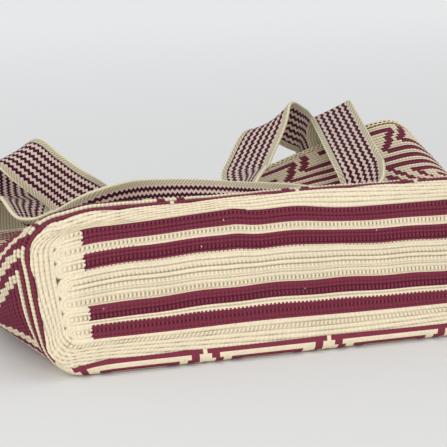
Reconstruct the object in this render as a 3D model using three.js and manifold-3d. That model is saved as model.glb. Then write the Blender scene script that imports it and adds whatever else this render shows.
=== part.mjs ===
// Crocheted tote bag with two woven strap handles, lying on one of its broad walls.
// Millimetres, +Z up. X runs along the base panel, Y runs from the base back to the mouth.
// The origin lies on the floor, under the middle of the bag.
import * as THREE from 'three';
import Module from 'manifold-3d';

// Bag body
const BASE_LENGTH = 434;
const BASE_HEIGHT = 112;
const BASE_CORNER = 28;
const BASE_LEAN = THREE.MathUtils.degToRad(15);
const EDGE_RADIUS = 10;
const BAG_DEPTH = 300;
const RIM_SETBACK = 10;
const MOUTH_SPLAY = 8;
const END_PULL = 16;
const END_PULL_SHARE = 0.3;
const END_PULL_AT_EDGE = 0.45;
const WALL = 3.5;
const SHARPEST_CORNER = 0.5;

// How far the upper wall sags below the base's top edge, from the left end to the right end
const ACROSS = [-1, -0.5, 0, 0.5, 0.85, 1];
const CORNER_DROOP = 9;
const FRONT_SAG = { share: 0.22, drops: [52, 37, 44, 48, 34, 28] };
const MIDDLE_SAG = { share: 0.6, drops: [62, 51, 50, 46, 36, 38] };
const MOUTH_SAG = { share: 1, drops: [74, 70, 59, 25, 1, 10] };

// Crochet: rows of the base, rounds of the border and of the walls
const ROW_PITCH = 3.4;
const BORDER_ROUNDS = 4;
const ROUNDS_PER_RIDGE = 2;
const RIDGE_HEIGHT = 0.7;
const RIDGE_FADE = { from: 0.1, to: 0.6 };
const ROW_FILL = 0.9;
const ROW_ROOT = 1;

// Woven strap handles
const STRAP_WIDTH = 38;
const STRAP_THICKNESS = 3;
const STRAP_EDGE = 1;
const HANDLE_SPACING = 278;
const ROOT_LAP = 26;
const ROOT_CLEARANCE = 1.2;
const LAY_CLEARANCE = 2;
const LAY_SETBACK = 100;
const LAY_LEAN = THREE.MathUtils.degToRad(17);
const TAB_SETBACK = 9;
const TAB_KNEE = 0.3;
const RIGHT_TAB_RISE = 19;
const LEFT_TAB_RISE = 26;
const LOOP_REACH = 50;
const LOOP_HEIGHT = 120;
const STRAP_GAP = 7;

// Mesh steps
const STEPS = { bottom: 5, corner: 3, end: 3, top: 11, lining: 15, strap: 4 };
const PROBE = 2;

const CREAM = 0xe1d1b3;
const STRAP_BROWN = 0x9c7f79;

const vec = (x, y, z) => new THREE.Vector3(x, y, z);

// Smooth curve through a few heights, used along the bag and across it
function curveThrough(places, heights, place) {
  const last = places.length - 1;
  const x = THREE.MathUtils.clamp(place, places[0], places[last]);
  let i = 0;
  while (i < last - 1 && x > places[i + 1]) i += 1;
  const slope = (k) => {
    const before = Math.max(k - 1, 0);
    const after = Math.min(k + 1, last);
    return (heights[after] - heights[before]) / (places[after] - places[before]);
  };
  const span = places[i + 1] - places[i];
  const t = (x - places[i]) / span;
  const rise = heights[i + 1] - heights[i];
  const cubic = slope(i) * span + slope(i + 1) * span - 2 * rise;
  const square = 3 * rise - 2 * slope(i) * span - slope(i + 1) * span;
  return heights[i] + t * (slope(i) * span + t * (square + t * cubic));
}

// Height of the upper wall at a place across the bag and a share of the way to the mouth
function panelHeight(across, share) {
  const side = across / (BASE_LENGTH / 2);
  const droop = CORNER_DROOP * THREE.MathUtils.smoothstep(-side, 0.75, 1);
  const sags = [FRONT_SAG, MIDDLE_SAG, MOUTH_SAG];
  const places = [0, ...sags.map((sag) => sag.share)];
  const drops = [droop, ...sags.map((sag) => curveThrough(ACROSS, sag.drops, side))];
  return BASE_HEIGHT * Math.cos(BASE_LEAN) - curveThrough(places, drops, share);
}

// A point of the leaning base panel
function basePoint(across, up) {
  const height = (up / BASE_HEIGHT) * panelHeight(across, 0);
  return vec(across, height * Math.tan(BASE_LEAN), height);
}

// A point of the wall: across and up in the base's outline, then a share of the way to the mouth
function wallPoint(across, up, share) {
  const side = across / (BASE_LENGTH / 2);
  const raised = up / BASE_HEIGHT;
  const splay = MOUTH_SPLAY * (Math.max(side, 0) * share) ** 2;
  const settled = THREE.MathUtils.smoothstep(share, 0, END_PULL_SHARE);
  const pull = END_PULL * Math.min(side, 0) ** 2 * THREE.MathUtils.lerp(END_PULL_AT_EDGE, 1, settled);
  const start = basePoint(across, up).y + EDGE_RADIUS * Math.cos(BASE_LEAN);
  const end = BAG_DEPTH + RIM_SETBACK * raised;
  return vec(
    across + splay + pull,
    THREE.MathUtils.lerp(start, end, share),
    raised * panelHeight(across, share),
  );
}

// Outline of the base, inset from its outer edge, walked from the bottom left corner
function outline(inset) {
  const radius = Math.max(BASE_CORNER - inset, SHARPEST_CORNER);
  const halfLength = BASE_LENGTH / 2 - inset - radius;
  const halfHeight = BASE_HEIGHT / 2 - inset - radius;
  const corners = [
    { x: halfLength, z: -halfHeight, turn: -Math.PI / 2, before: STEPS.bottom },
    { x: halfLength, z: halfHeight, turn: 0, before: STEPS.end },
    { x: -halfLength, z: halfHeight, turn: Math.PI / 2, before: STEPS.top },
    { x: -halfLength, z: -halfHeight, turn: Math.PI, before: STEPS.end },
  ];
  const points = [];
  corners.forEach((corner, k) => {
    const previous = corners[(k + 3) % 4];
    const from = [
      previous.x + radius * Math.cos(corner.turn),
      previous.z + radius * Math.sin(corner.turn),
    ];
    const to = [
      corner.x + radius * Math.cos(corner.turn),
      corner.z + radius * Math.sin(corner.turn),
    ];
    for (let i = 1; i <= corner.before; i += 1) {
      const t = i / corner.before;
      points.push([
        THREE.MathUtils.lerp(from[0], to[0], t),
        THREE.MathUtils.lerp(from[1], to[1], t),
      ]);
    }
    for (let i = 1; i <= STEPS.corner; i += 1) {
      const angle = corner.turn + (i / STEPS.corner) * (Math.PI / 2);
      points.push([corner.x + radius * Math.cos(angle), corner.z + radius * Math.sin(angle)]);
    }
  });
  return points.map(([across, up]) => [across, up + BASE_HEIGHT / 2]);
}

const OUTER = outline(0);
const FLAT = outline(EDGE_RADIUS);
const EDGE_ARC = (EDGE_RADIUS * Math.PI) / 2;
const WALL_RUN = EDGE_ARC + BAG_DEPTH - EDGE_RADIUS;
const UPPER_RIM = BAG_DEPTH + RIM_SETBACK;

// A point of the smooth outer skin at a run of cloth from the flat base towards the rim
function skinPoint(index, run) {
  const [across, up] = OUTER[index];
  if (run >= EDGE_ARC) {
    return wallPoint(across, up, (run - EDGE_ARC) / (WALL_RUN - EDGE_ARC));
  }
  const angle = run / EDGE_RADIUS;
  const [flatAcross, flatUp] = FLAT[index];
  const flat = basePoint(flatAcross, flatUp);
  const backwards = vec(0, EDGE_RADIUS * Math.cos(BASE_LEAN), 0);
  const sideways = wallPoint(across, up, 0).sub(flat).sub(backwards);
  return flat.addScaledVector(sideways, Math.sin(angle)).addScaledVector(backwards, 1 - Math.cos(angle));
}

// Outward normal of the skin, from its neighbours along the ring and along the run
function skinNormal(index, run) {
  const count = OUTER.length;
  const along = skinPoint((index + 1) % count, run).sub(skinPoint((index + count - 1) % count, run));
  const before = skinPoint(index, Math.max(run - PROBE, 0));
  const after = skinPoint(index, Math.min(run + PROBE, WALL_RUN));
  return after.sub(before).cross(along).normalize();
}

// Ridges fade out on the cloth that lies on the floor
function ridge(index, level) {
  const raised = OUTER[index][1] / BASE_CORNER;
  return RIDGE_HEIGHT * level * THREE.MathUtils.smoothstep(raised, RIDGE_FADE.from, RIDGE_FADE.to);
}

const ringOf = (point) => OUTER.map((_, index) => point(index));

// Border rounds on the flat base, from the innermost one out to the rounded edge
function borderRings() {
  const rings = [];
  const out = vec(0, -Math.cos(BASE_LEAN), Math.sin(BASE_LEAN));
  for (let half = 2 * BORDER_ROUNDS; half > 0; half -= 1) {
    const inset = outline(EDGE_RADIUS + (half * ROW_PITCH) / 2);
    const level = half % 2;
    rings.push(inset.map(([across, up]) => {
      return basePoint(across, up).addScaledVector(out, RIDGE_HEIGHT * level);
    }));
  }
  return rings;
}

// Wall rounds from the edge of the base to the rim
function wallRings() {
  const ridges = Math.round(WALL_RUN / (ROW_PITCH * ROUNDS_PER_RIDGE));
  const rings = [];
  for (let half = 0; half <= 2 * ridges; half += 1) {
    const run = (WALL_RUN * half) / (2 * ridges);
    const level = half % 2;
    rings.push(ringOf((index) => {
      return skinPoint(index, run).addScaledVector(skinNormal(index, run), ridge(index, level));
    }));
  }
  return rings;
}

// Smooth inside of the bag, from the rim down to the base
function insideRings() {
  const rings = [];
  for (let k = STEPS.lining; k >= 0; k -= 1) {
    const run = (WALL_RUN * k) / STEPS.lining;
    rings.push(ringOf((index) => {
      return skinPoint(index, run).addScaledVector(skinNormal(index, run), -WALL);
    }));
  }
  return rings;
}

// Closed mesh from rings of equal count, capped by a fan at both ends
function closedLoft(rings) {
  const count = rings[0].length;
  const positions = rings.flat().flatMap((point) => point.toArray());
  const indices = [];
  for (let r = 0; r < rings.length - 1; r += 1) {
    for (let k = 0; k < count; k += 1) {
      const a = r * count + k;
      const b = r * count + ((k + 1) % count);
      indices.push(a, b, b + count, a, b + count, a + count);
    }
  }
  const middle = (ring) => ring.reduce((sum, p) => sum.add(p), vec(0, 0, 0)).divideScalar(count);
  const first = positions.length / 3;
  const end = (rings.length - 1) * count;
  positions.push(...middle(rings[0]).toArray(), ...middle(rings.at(-1)).toArray());
  for (let k = 0; k < count; k += 1) {
    const next = (k + 1) % count;
    indices.push(first, next, k, first + 1, end + k, end + next);
  }
  const geometry = new THREE.BufferGeometry();
  geometry.setAttribute('position', new THREE.Float32BufferAttribute(positions, 3));
  geometry.setIndex(indices);
  return geometry;
}

const wasm = await Module();
wasm.setup();

function toSolid(geometry) {
  return new wasm.Manifold(new wasm.Mesh({
    numProp: 3,
    vertProperties: new Float32Array(geometry.attributes.position.array),
    triVerts: new Uint32Array(geometry.index.array),
  }));
}

function toGeometry(solid) {
  const mesh = solid.getMesh();
  const geometry = new THREE.BufferGeometry();
  geometry.setAttribute('position', new THREE.Float32BufferAttribute(mesh.vertProperties, 3));
  geometry.setIndex(new THREE.Uint32BufferAttribute(mesh.triVerts, 1));
  geometry.computeVertexNormals();
  return geometry;
}

// One straight row of the base, a low rounded bar half sunk into the panel
function baseRow(up, halfLength) {
  const out = vec(0, -Math.cos(BASE_LEAN), Math.sin(BASE_LEAN));
  const half = (ROW_PITCH * ROW_FILL) / 2;
  const profile = [
    [-half, -ROW_ROOT], [half, -ROW_ROOT], [half, 0],
    [half / 2, RIDGE_HEIGHT], [-half / 2, RIDGE_HEIGHT], [-half, 0],
  ];
  const ends = [-halfLength, halfLength].map((across) => profile.map(([rise, proud]) => {
    return basePoint(across, up + rise).addScaledVector(out, proud);
  }));
  return closedLoft(ends);
}

function bagBody() {
  const rings = [...borderRings(), ...wallRings(), ...insideRings()];
  const shell = toSolid(closedLoft(rings.reverse()));
  const inset = EDGE_RADIUS + BORDER_ROUNDS * ROW_PITCH;
  const rows = Math.floor((BASE_HEIGHT - 2 * inset) / ROW_PITCH);
  const halfLength = BASE_LENGTH / 2 - inset;
  let body = shell;
  for (let row = 0; row < rows; row += 1) {
    const up = BASE_HEIGHT / 2 + (row - (rows - 1) / 2) * ROW_PITCH;
    const bar = toSolid(baseRow(up, halfLength));
    body = body.add(bar);
  }
  return toGeometry(body);
}

// A strap along stations that each give its middle and the way across it
function strap(stations) {
  const middles = new THREE.CatmullRomCurve3(stations.map((s) => s.middle), false, 'centripetal');
  const acrosses = new THREE.CatmullRomCurve3(stations.map((s) => s.across.normalize()));
  const halfWidth = STRAP_WIDTH / 2;
  const halfThick = STRAP_THICKNESS / 2;
  const section = [
    [-halfWidth, -halfThick + STRAP_EDGE], [-halfWidth + STRAP_EDGE, -halfThick],
    [halfWidth - STRAP_EDGE, -halfThick], [halfWidth, -halfThick + STRAP_EDGE],
    [halfWidth, halfThick - STRAP_EDGE], [halfWidth - STRAP_EDGE, halfThick],
    [-halfWidth + STRAP_EDGE, halfThick], [-halfWidth, halfThick - STRAP_EDGE],
  ];
  const steps = (stations.length - 1) * STEPS.strap;
  const rings = [];
  for (let k = 0; k <= steps; k += 1) {
    const middle = middles.getPoint(k / steps);
    const tangent = middles.getTangent(k / steps);
    const across = acrosses.getPoint(k / steps);
    across.addScaledVector(tangent, -across.dot(tangent)).normalize();
    const face = tangent.clone().cross(across);
    rings.push(section.map(([wide, thick]) => {
      return middle.clone().addScaledVector(across, wide).addScaledVector(face, thick);
    }));
  }
  const geometry = closedLoft(rings);
  geometry.computeVertexNormals();
  return geometry;
}

const station = (middle, across) => ({ middle, across });

// Strap middle on the inside of the upper wall, a distance in from the rim
function underPanel(across, inwards) {
  const share = (inset) => 1 - inset / (BAG_DEPTH - EDGE_RADIUS);
  const wall = (x, inset) => wallPoint(x, BASE_HEIGHT, share(inset));
  const skin = wall(across, inwards);
  const along = wall(across + PROBE, inwards).sub(wall(across - PROBE, inwards)).normalize();
  const back = skin.clone().sub(wall(across, inwards + PROBE));
  const up = along.clone().cross(back).normalize();
  const depth = WALL + ROOT_CLEARANCE + STRAP_THICKNESS / 2;
  return { middle: skin.addScaledVector(up, -depth), along };
}

// Strap middle on the inside of the wall that lies on the floor
function onFloorPanel(across, inwards) {
  return vec(across, BAG_DEPTH - inwards, WALL + ROOT_CLEARANCE + STRAP_THICKNESS / 2);
}

// Height of the upper wall below a place seen from above
function panelBelow(x, y) {
  const start = wallPoint(x, BASE_HEIGHT, 0).y;
  const share = THREE.MathUtils.clamp((y - start) / (UPPER_RIM - start), 0, 1);
  const shift = wallPoint(x, BASE_HEIGHT, share).x - x;
  return panelHeight(x - shift, share) + RIDGE_HEIGHT;
}

// Station over the upper wall: a share of the way from the laid run to the rim, the clearance
// under the strap's lower edge, and the way across the strap
function above(x, share, clearance, across) {
  const y = THREE.MathUtils.lerp(LAY_SETBACK, UPPER_RIM, share);
  const half = (STRAP_WIDTH / 2) * Math.abs(across.normalize().z);
  return station(vec(x, y, panelBelow(x, y) + clearance + half), across);
}

// Station behind the mouth, a reach back from the lower rim
function behind(x, reach, height, across) {
  return station(vec(x, BAG_DEPTH + reach, height), across);
}

// Stretch of the laid run, standing on its edge and leaning back on the upper wall
const laid = (x) => above(x, 0, LAY_CLEARANCE, vec(0, Math.sin(LAY_LEAN), Math.cos(LAY_LEAN)));

// The end of the upper handle: sewn under the wall, out over the rim and up
function upperRoot(across, tabRise) {
  const rim = underPanel(across, 0);
  const way = Math.sign(across);
  const along = () => rim.along.clone().multiplyScalar(way);
  const overRim = (setback, rise) => rim.middle.clone().add(vec(0, setback, rise));
  return [
    station(underPanel(across, ROOT_LAP).middle, along()),
    station(underPanel(across, ROOT_LAP / 2).middle, along()),
    station(rim.middle, along()),
    station(overRim(TAB_SETBACK, tabRise * TAB_KNEE), along()),
    station(overRim(TAB_SETBACK * 1.1, tabRise), along()),
  ];
}

// The end of the lower handle: sewn to the wall on the floor, out of the mouth and up
function lowerRoot(across) {
  const way = () => vec(Math.sign(across), 0, 0);
  return [
    station(onFloorPanel(across, ROOT_LAP), way()),
    station(onFloorPanel(across, 0), way()),
    behind(across, LOOP_REACH * 0.6, LOOP_HEIGHT * 0.1, way()),
  ];
}

// Up from the right root, forward over the wall, along it on edge, round and back to the left root
function upperHandle() {
  const root = HANDLE_SPACING / 2;
  const wide = STRAP_WIDTH;
  return strap([
    ...upperRoot(root, RIGHT_TAB_RISE),
    above(root * 1.014, 1, RIGHT_TAB_RISE * 0.84, vec(1, 0, 0.4)),
    above(root * 0.957, 0.88, wide * 0.63, vec(1, 0, 0.38)),
    above(root * 0.784, 0.476, wide * 0.92, vec(1, 0.2, 0.35)),
    above(root * 0.676, 0.24, wide * 0.71, vec(0.9, 0.3, 0.35)),
    above(root * 0.59, 0.086, wide * 0.38, vec(0.7, 0.2, 0.75)),
    above(root * 0.396, 0.014, wide * 0.07, vec(0.1, 0.2, 1)),
    laid(root * 0.14),
    laid(root * -0.22),
    laid(root * -0.58),
    laid(root * -0.9),
    above(root * -1.108, 0.05, wide * 0.105, vec(-0.2, 0.5, 0.85)),
    above(root * -1.23, 0.12, wide * 0.2, vec(-0.7, 0.1, 0.7)),
    above(root * -1.23, 0.24, wide * 0.42, vec(-0.95, 0, 0.3)),
    above(root * -1.158, 0.5, wide * 0.63, vec(-1, 0, 0.1)),
    above(root * -1.1, 0.686, wide * 0.79, vec(-1, 0, 0)),
    above(root * -1.079, 0.752, wide * 0.97, vec(-1, 0, 0)),
    above(root * -1.065, 0.8, wide * 1.32, vec(-1, 0, 0)),
    above(root * -1.043, 0.867, LEFT_TAB_RISE * 2.08, vec(-1, 0, 0)),
    above(root * -1.014, 0.971, LEFT_TAB_RISE * 1.77, vec(-1, 0, 0)),
    ...upperRoot(-root, LEFT_TAB_RISE).reverse(),
  ]);
}

// Up behind the mouth from the right root, over the rim, along the wall and back round on the left
function lowerHandle() {
  const root = HANDLE_SPACING / 2;
  const wide = STRAP_WIDTH;
  const besideArch = root * 1.065 + STRAP_WIDTH + STRAP_GAP;
  return strap([
    ...lowerRoot(root),
    behind(root * 1.058, LOOP_REACH * 1.04, LOOP_HEIGHT * 0.35, vec(1, 0, 0.2)),
    behind(root * 1.05, LOOP_REACH * 1.02, LOOP_HEIGHT * 0.58, vec(0.8, 0.3, 0.6)),
    behind(root * 0.964, LOOP_REACH * 0.92, LOOP_HEIGHT * 0.77, vec(0.35, 0.2, 0.9)),
    behind(root * 0.842, LOOP_REACH * 0.54, LOOP_HEIGHT * 0.85, vec(0.3, 0, 0.95)),
    above(root * 0.576, 0.914, wide * 0.88, vec(0.85, 0, 0.5)),
    above(root * 0.273, 0.595, wide * 0.91, vec(0.72, -0.51, 0.38)),
    above(root * -0.079, 0.238, wide * 0.55, vec(0.65, -0.6, 0.4)),
    above(root * -0.23, 0.176, wide * 0.26, vec(0.3, -1, 0)),
    above(root * -0.47, 0.157, wide * 0.16, vec(0, -1, 0)),
    above(root * -0.72, 0.176, wide * 0.16, vec(-0.3, -0.8, -0.3)),
    above(root * -0.964, 0.238, wide * 0.37, vec(-0.4, -0.2, -0.8)),
    above(root * -1.065, 0.381, wide * 0.79, vec(-0.42, 0.15, -0.85)),
    above(root * -1.18, 0.51, wide * 1.47, vec(-0.91, 0, -0.42)),
    above(root * -1.288, 0.648, wide * 1.29, vec(-0.9, -0.35, -0.3)),
    above(-besideArch, 0.81, wide * 1.21, vec(-1, -0.1, -0.1)),
    behind(-besideArch, LOOP_REACH * 0.2, LOOP_HEIGHT * 0.68, vec(-1, 0, 0)),
    behind(root * -1.28, LOOP_REACH * 0.76, LOOP_HEIGHT * 0.5, vec(-0.95, 0.2, 0)),
    behind(root * -1.137, LOOP_REACH * 0.92, LOOP_HEIGHT * 0.28, vec(-1, 0.1, 0)),
    ...lowerRoot(-root).reverse(),
  ]);
}

function piece(name, geometry, color) {
  const material = new THREE.MeshStandardMaterial({ color, roughness: 0.9, metalness: 0 });
  const mesh = new THREE.Mesh(geometry, material);
  mesh.name = name;
  return mesh;
}

const bag = new THREE.Group();
bag.name = 'tote_bag';
bag.add(piece('bag_body', bagBody(), CREAM));
bag.add(piece('upper_handle', upperHandle(), STRAP_BROWN));
bag.add(piece('lower_handle', lowerHandle(), STRAP_BROWN));
bag.position.y = -BAG_DEPTH / 2;

export default bag;
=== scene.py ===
"""Crocheted tote bag with two woven strap handles, lying on one broad wall."""

import math

import bpy
import numpy as np
from bpy.props import FloatProperty, FloatVectorProperty, IntProperty, PointerProperty
from mathutils import Matrix, Vector


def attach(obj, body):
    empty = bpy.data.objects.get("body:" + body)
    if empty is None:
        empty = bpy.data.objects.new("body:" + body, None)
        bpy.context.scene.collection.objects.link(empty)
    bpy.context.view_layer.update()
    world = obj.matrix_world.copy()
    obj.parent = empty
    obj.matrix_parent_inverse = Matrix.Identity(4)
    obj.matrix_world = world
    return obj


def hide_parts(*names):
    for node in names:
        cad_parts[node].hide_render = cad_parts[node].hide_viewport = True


bl_info = {
    "name": "Crocheted Tote Bag",
    "version": (1, 0, 0),
    "blender": (4, 5, 0),
    "location": "View3D > Sidebar > Tote Bag",
    "description": "Builds a crocheted tote bag with woven strap handles over its packed frame",
    "category": "Object",
}

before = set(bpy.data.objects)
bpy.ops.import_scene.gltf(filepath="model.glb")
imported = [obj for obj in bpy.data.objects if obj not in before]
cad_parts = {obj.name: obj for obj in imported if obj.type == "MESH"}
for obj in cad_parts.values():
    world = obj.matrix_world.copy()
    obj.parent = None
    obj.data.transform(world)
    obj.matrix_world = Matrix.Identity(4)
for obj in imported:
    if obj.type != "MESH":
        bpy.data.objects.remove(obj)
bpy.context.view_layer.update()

MM = 0.001
BODY = "root"

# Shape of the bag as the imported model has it, in millimetres
BASE_LENGTH = 434.0
BASE_HEIGHT = 112.0
BASE_CORNER = 28.0
LEAST_CORNER = 0.5
BASE_LEAN = math.radians(15)
EDGE_RADIUS = 10.0
BAG_DEPTH = 300.0
RIM_SETBACK = 10.0
MOUTH_SPLAY = 8.0
END_PULL = 16.0
END_PULL_SHARE = 0.3
END_PULL_AT_EDGE = 0.45
WALL = 3.5
CORNER_DROOP = 9.0
DROOP_FROM = 0.75
ACROSS = (-1, -0.5, 0, 0.5, 0.85, 1)
SAGS = (
    (0.22, (52, 37, 44, 48, 34, 28)),
    (0.6, (62, 51, 50, 46, 36, 38)),
    (1.0, (74, 70, 59, 25, 1, 10)),
)
RIDGE_HEIGHT = 0.7
STRAP_WIDTH = 38.0
STRAP_THICKNESS = 3.0
HANDLE_SPACING = 278.0
ROOT_LAP = 26.0
ROOT_CLEARANCE = 1.2
LAY_SETBACK = 100.0
TAB_SETBACK = 9.0
TAB_KNEE = 0.3
TAB_TIP = 1.1
RIGHT_TAB_RISE = 19.0
LEFT_TAB_RISE = 26.0
LOOP_REACH = 50.0
LOOP_HEIGHT = 120.0
STRAP_GAP = 7.0
PROBE = 2.0
EDGE_PROBE = 0.5
TINY = 1e-9

EDGE_ARC = EDGE_RADIUS * math.pi / 2
WALL_RUN = EDGE_ARC + BAG_DEPTH - EDGE_RADIUS
UPPER_RIM = BAG_DEPTH + RIM_SETBACK
CORNER_ARC = BASE_CORNER * math.pi / 2
LONG_SIDE = BASE_LENGTH - 2 * BASE_CORNER
SHORT_SIDE = BASE_HEIGHT - 2 * BASE_CORNER
PERIMETER = 2 * (LONG_SIDE + SHORT_SIDE) + 4 * CORNER_ARC

# Stitch grid of the walls, and how the rounds start at the base
COLUMNS = 352
ROUNDS = 73
RINGS = (("lower_rounds", 0, 24), ("middle_rounds", 24, 48), ("upper_rounds", 48, ROUNDS))
COLUMN_PITCH = PERIMETER / COLUMNS
FINE = 3
FIRST_ROUND = 0.5
FIRST_ROUND_LESS = 0.16
FIRST_ROUND_ACROSS = (180, 212)
EDGE_START = -1.6
NEAR_OVER = 8.2
FAR_OVER = 12.0
OVER_ACROSS = (-160, 0)
OVER_UP = (0.6 * BASE_HEIGHT, 1.02 * BASE_HEIGHT)
CORNER_TUCK = 4.0
TUCK_PLACE = -12.0
TUCK_WIDTH = 22.0
FREE_OF_FLOOR = (0.1, 0.6)
WALL_SLOTS = 0.55
# Painted shade in a band behind the rim chain's loops: its strength, rounds below the rim and half
# width
RIM_SHADE = 0.85
RIM_SHADE_DOWN = 1.3
RIM_SHADE_HALF = 0.9

# Rim chain: how far down, out and above the floor it runs, and the points of a loop and its yarn
CHAIN_DOWN = (1.3, 0.7)
CHAIN_OUT = 0.9
CHAIN_LEAST_HEIGHT = 1.2
LOOP_POINTS = 8
THREAD_POINTS = 5

# Slump of the left end: sizes, then from where to where each sets in
TOP_OUT = 3.5
FOOT_IN = 2.0
SLANT_ACROSS = (165, 205)
SLANT_UP = (5, 80)
SLANT_FADE = (60, 200)
END_FLARE = 7.5
END_BELLY = 9.0
END_ACROSS = (150, 212)
FLARE_RUN = (0, 30)
BELLY_RUN = ((15, 90), (150, 300))
FLARE_UP = (8, 56)
FLARE_TOP = (70, BASE_HEIGHT)
FLARE_TOP_LESS = 0.4
END_TUCK = 5.0
END_TUCK_UP = (4, 40)
END_TUCK_RUN = (-4, 25)
END_SHOULDER = 18.0
SHOULDER_ACROSS = (160, 205)
SHOULDER_UP = (45, BASE_HEIGHT)
SHOULDER_RUN = ((10, 70), (80, 190))

# Stitch grid of the base: border rounds around straight rows, mirrored about the middle row
BORDER_PITCH = 3.35
BORDER_RINGS = 24
BORDER_FIRST_ROW = 40
BORDER_SLOTS = 0.15
BORDER_POSTS = 0.55
BORDER_POSTS_ROW = 1.5
BASE_MIDDLE = 62.5
ROWS_HALF = 37.4
ROW_SIDE = 0.85
COARSE = 4
EDGE_PLAIN = 1.4
LEAST_FLAT = 0.01
TOP_STRAIGHT = (110, 170)
ROWS_REACH = 192.0
ROWS_TIP = 191.5
ROWS_CORNER = 11.0
ROWS_FADE = (174, 187)
ROWS_FADE_LESS = 0.5
POST_PITCH = 2.97
PERIOD = 10.5
FIRST_POSTS = 14.5
FIRST_LOW_POSTS = 10.8
POST_ZONE = 3.6
PLAIN_SLOTS = 0.1
SPINE_HALF = 1.7
SPINE_RIDGES = 3.5
SPINE_SLIT = 2.8
SPINE_SLIT_HALF = 1.2
SPINE_SLOTS = 0.6
LOBE_RIDGES = 1.5
TURN_PLAIN = 1.5
# Painted shade in the pockets where the rows turn back: its fade-in past a lobe and its reach along
POCKET = (1.1, 2.3)
POCKET_REACH = (ROWS_TIP - 4.5, ROWS_TIP - 1.5)

# Wandering of the base's rows: place, height and reach of each swell, to the left and right above
UPPER_SWELLS = ((-68.5, 4.2, 64, 16), (-23, 4.0, 40, 27))
UPPER_SETTLED = 1.8
LOWER_SWELL = (-50, 2.8, 55)
LOWER_FADE = 0.6
LOWER_FADE_DOWN = (20, ROWS_HALF)
ROWS_BLEND = 15
DIP = (-150, -18, 35, 9)
DIP_DEPTH = 1.8
RIPPLES = ((0.7, 0.043, 0.8), (0.4, 0.117, 0))

# Stripes of the base, the waves of their worn ends and the specks of cream that show through
STRIPE_REACH = 174.0
STRIPE_WEAR = ((0.7, 2.1), (0.4, 0.7))
STRIPE_POSTS = 0.42
STRIPES = ((-37.4, -27.5), (-24.0, -13.7), (10.8, 21.5), (27.0, 38.5))
STRIPE_SCALLOP = 0.4
SPECKS = 8
SPECK_SEED = 7
SPECK_INSET = (8, 1.5)
SPECK_HALF = (0.46, 0.43)

# Profile of one stitch, as shares of its height, and the painted shade in its grooves and slots
POST_SLANT = 0.3
SLOT_SHARPNESS = 1.2
RIDGE_ROUNDNESS = 0.6
BEAD_SWING = 0.06
GROOVE_SHARPNESS = 2.5
GROOVE_DOTS = 0.3
GROOVE_SHADE = 0.58

# Section of the straps, and the stretches whose zigzag is drawn out: from, to and pace of the weave
STRAP_STEP = 1.6
DENSE_STEPS = 6000
SAME_PLACE = 1e-4
STRAP_PLACES = 25
STRAP_INSET = 0.7
CORD_HEIGHT = 0.35
CORD_PLACE = 16.4
CORD_WIDTH = 1.6
SELVEDGE_IN = 0.15
SELVEDGE_HALF = 0.75
LEG_EASE = (15, 5)
UPPER_LEGS = ((60.0, 140.0, 0.28), (150.0, 195.0, 0.36), (205.0, 250.0, 0.5), (592.0, 668.0, 0.3))
LOWER_LEGS = ((165.0, 225.0, 0.32), (235.0, 300.0, 0.5), (310.0, 384.0, 0.28), (568.0, 640.0, 0.8))

# Weave of the straps, with painted shade between the ribs and a painted highlight on the selvedges
DARK_SHARE = 0.54
LINE_SHIFT = 100.02
BORDER_SLANT = (0.8, 0.9)
END_RIB_SCALE = 0.85
RIB_PITCH = 2.1 * MM
RIB_SHADE = 0.75
RIB_SHADE_BRIGHTNESS = 0.4
PICK_PITCH = 1.25 * MM
PICK_HEIGHT = 0.15
DARK_DEPTH = 0.5
SELVEDGE = 1.0 * MM
SELVEDGE_HIGHLIGHT = 1.2
BRIGHTEST = 0.9

# Finish of the fabrics, and how strongly painted shade darkens their hollows
FABRIC_ROUGHNESS = 0.9
FABRIC_SPECULAR = 0.25
CREAM_SHADE = 1.1
MAROON_SHADE_EXTRA = 0.3
HOLLOW_BUMP = 0.6
BUMP_DEPTH = 0.5 * MM
FIBRE_HEIGHT = 0.5
BROAD_SCALE = 38.0
BROAD_SHARE = 0.5
KNOT_SCALE = 420.0
KNOT_SHARE = 0.6
KNOT_HEIGHT = 0.3
USUAL_NOISE = 1.05

# Stage
FLOOR_HALF = 14.0
FLOOR_DROP = 0.6 * MM
FLOOR_ROUGHNESS = 0.9
SENSOR = 36.0
CLIP = (0.05, 60.0)
FADE = {"From Min": 0.2, "From Max": 2.2, "To Min": 0.08, "To Max": 0.95}
SKY = (0.95, 0.97, 1, 1)
SKY_STRENGTH = 0.72
LIGHT_AIM = (0, 0, 0.05)
SOFTBOXES = (
    ("front_softbox", (-1.1, -2.3, 1.25), 1.6, 24, (1, 0.985, 0.95)),
    ("side_softbox", (-2.2, -0.3, 1.3), 1.2, 6, (1, 0.98, 0.95)),
    ("top_softbox", (0.3, 0.2, 2.4), 2.0, 6, (0.97, 0.98, 1)),
)


def from_screen(red, green, blue):
    """Linear colour of an 8-bit screen colour."""
    values = [v / 255 for v in (red, green, blue)]
    return tuple(v / 12.92 if v <= 0.04045 else ((v + 0.055) / 1.055) ** 2.4 for v in values)


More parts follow.
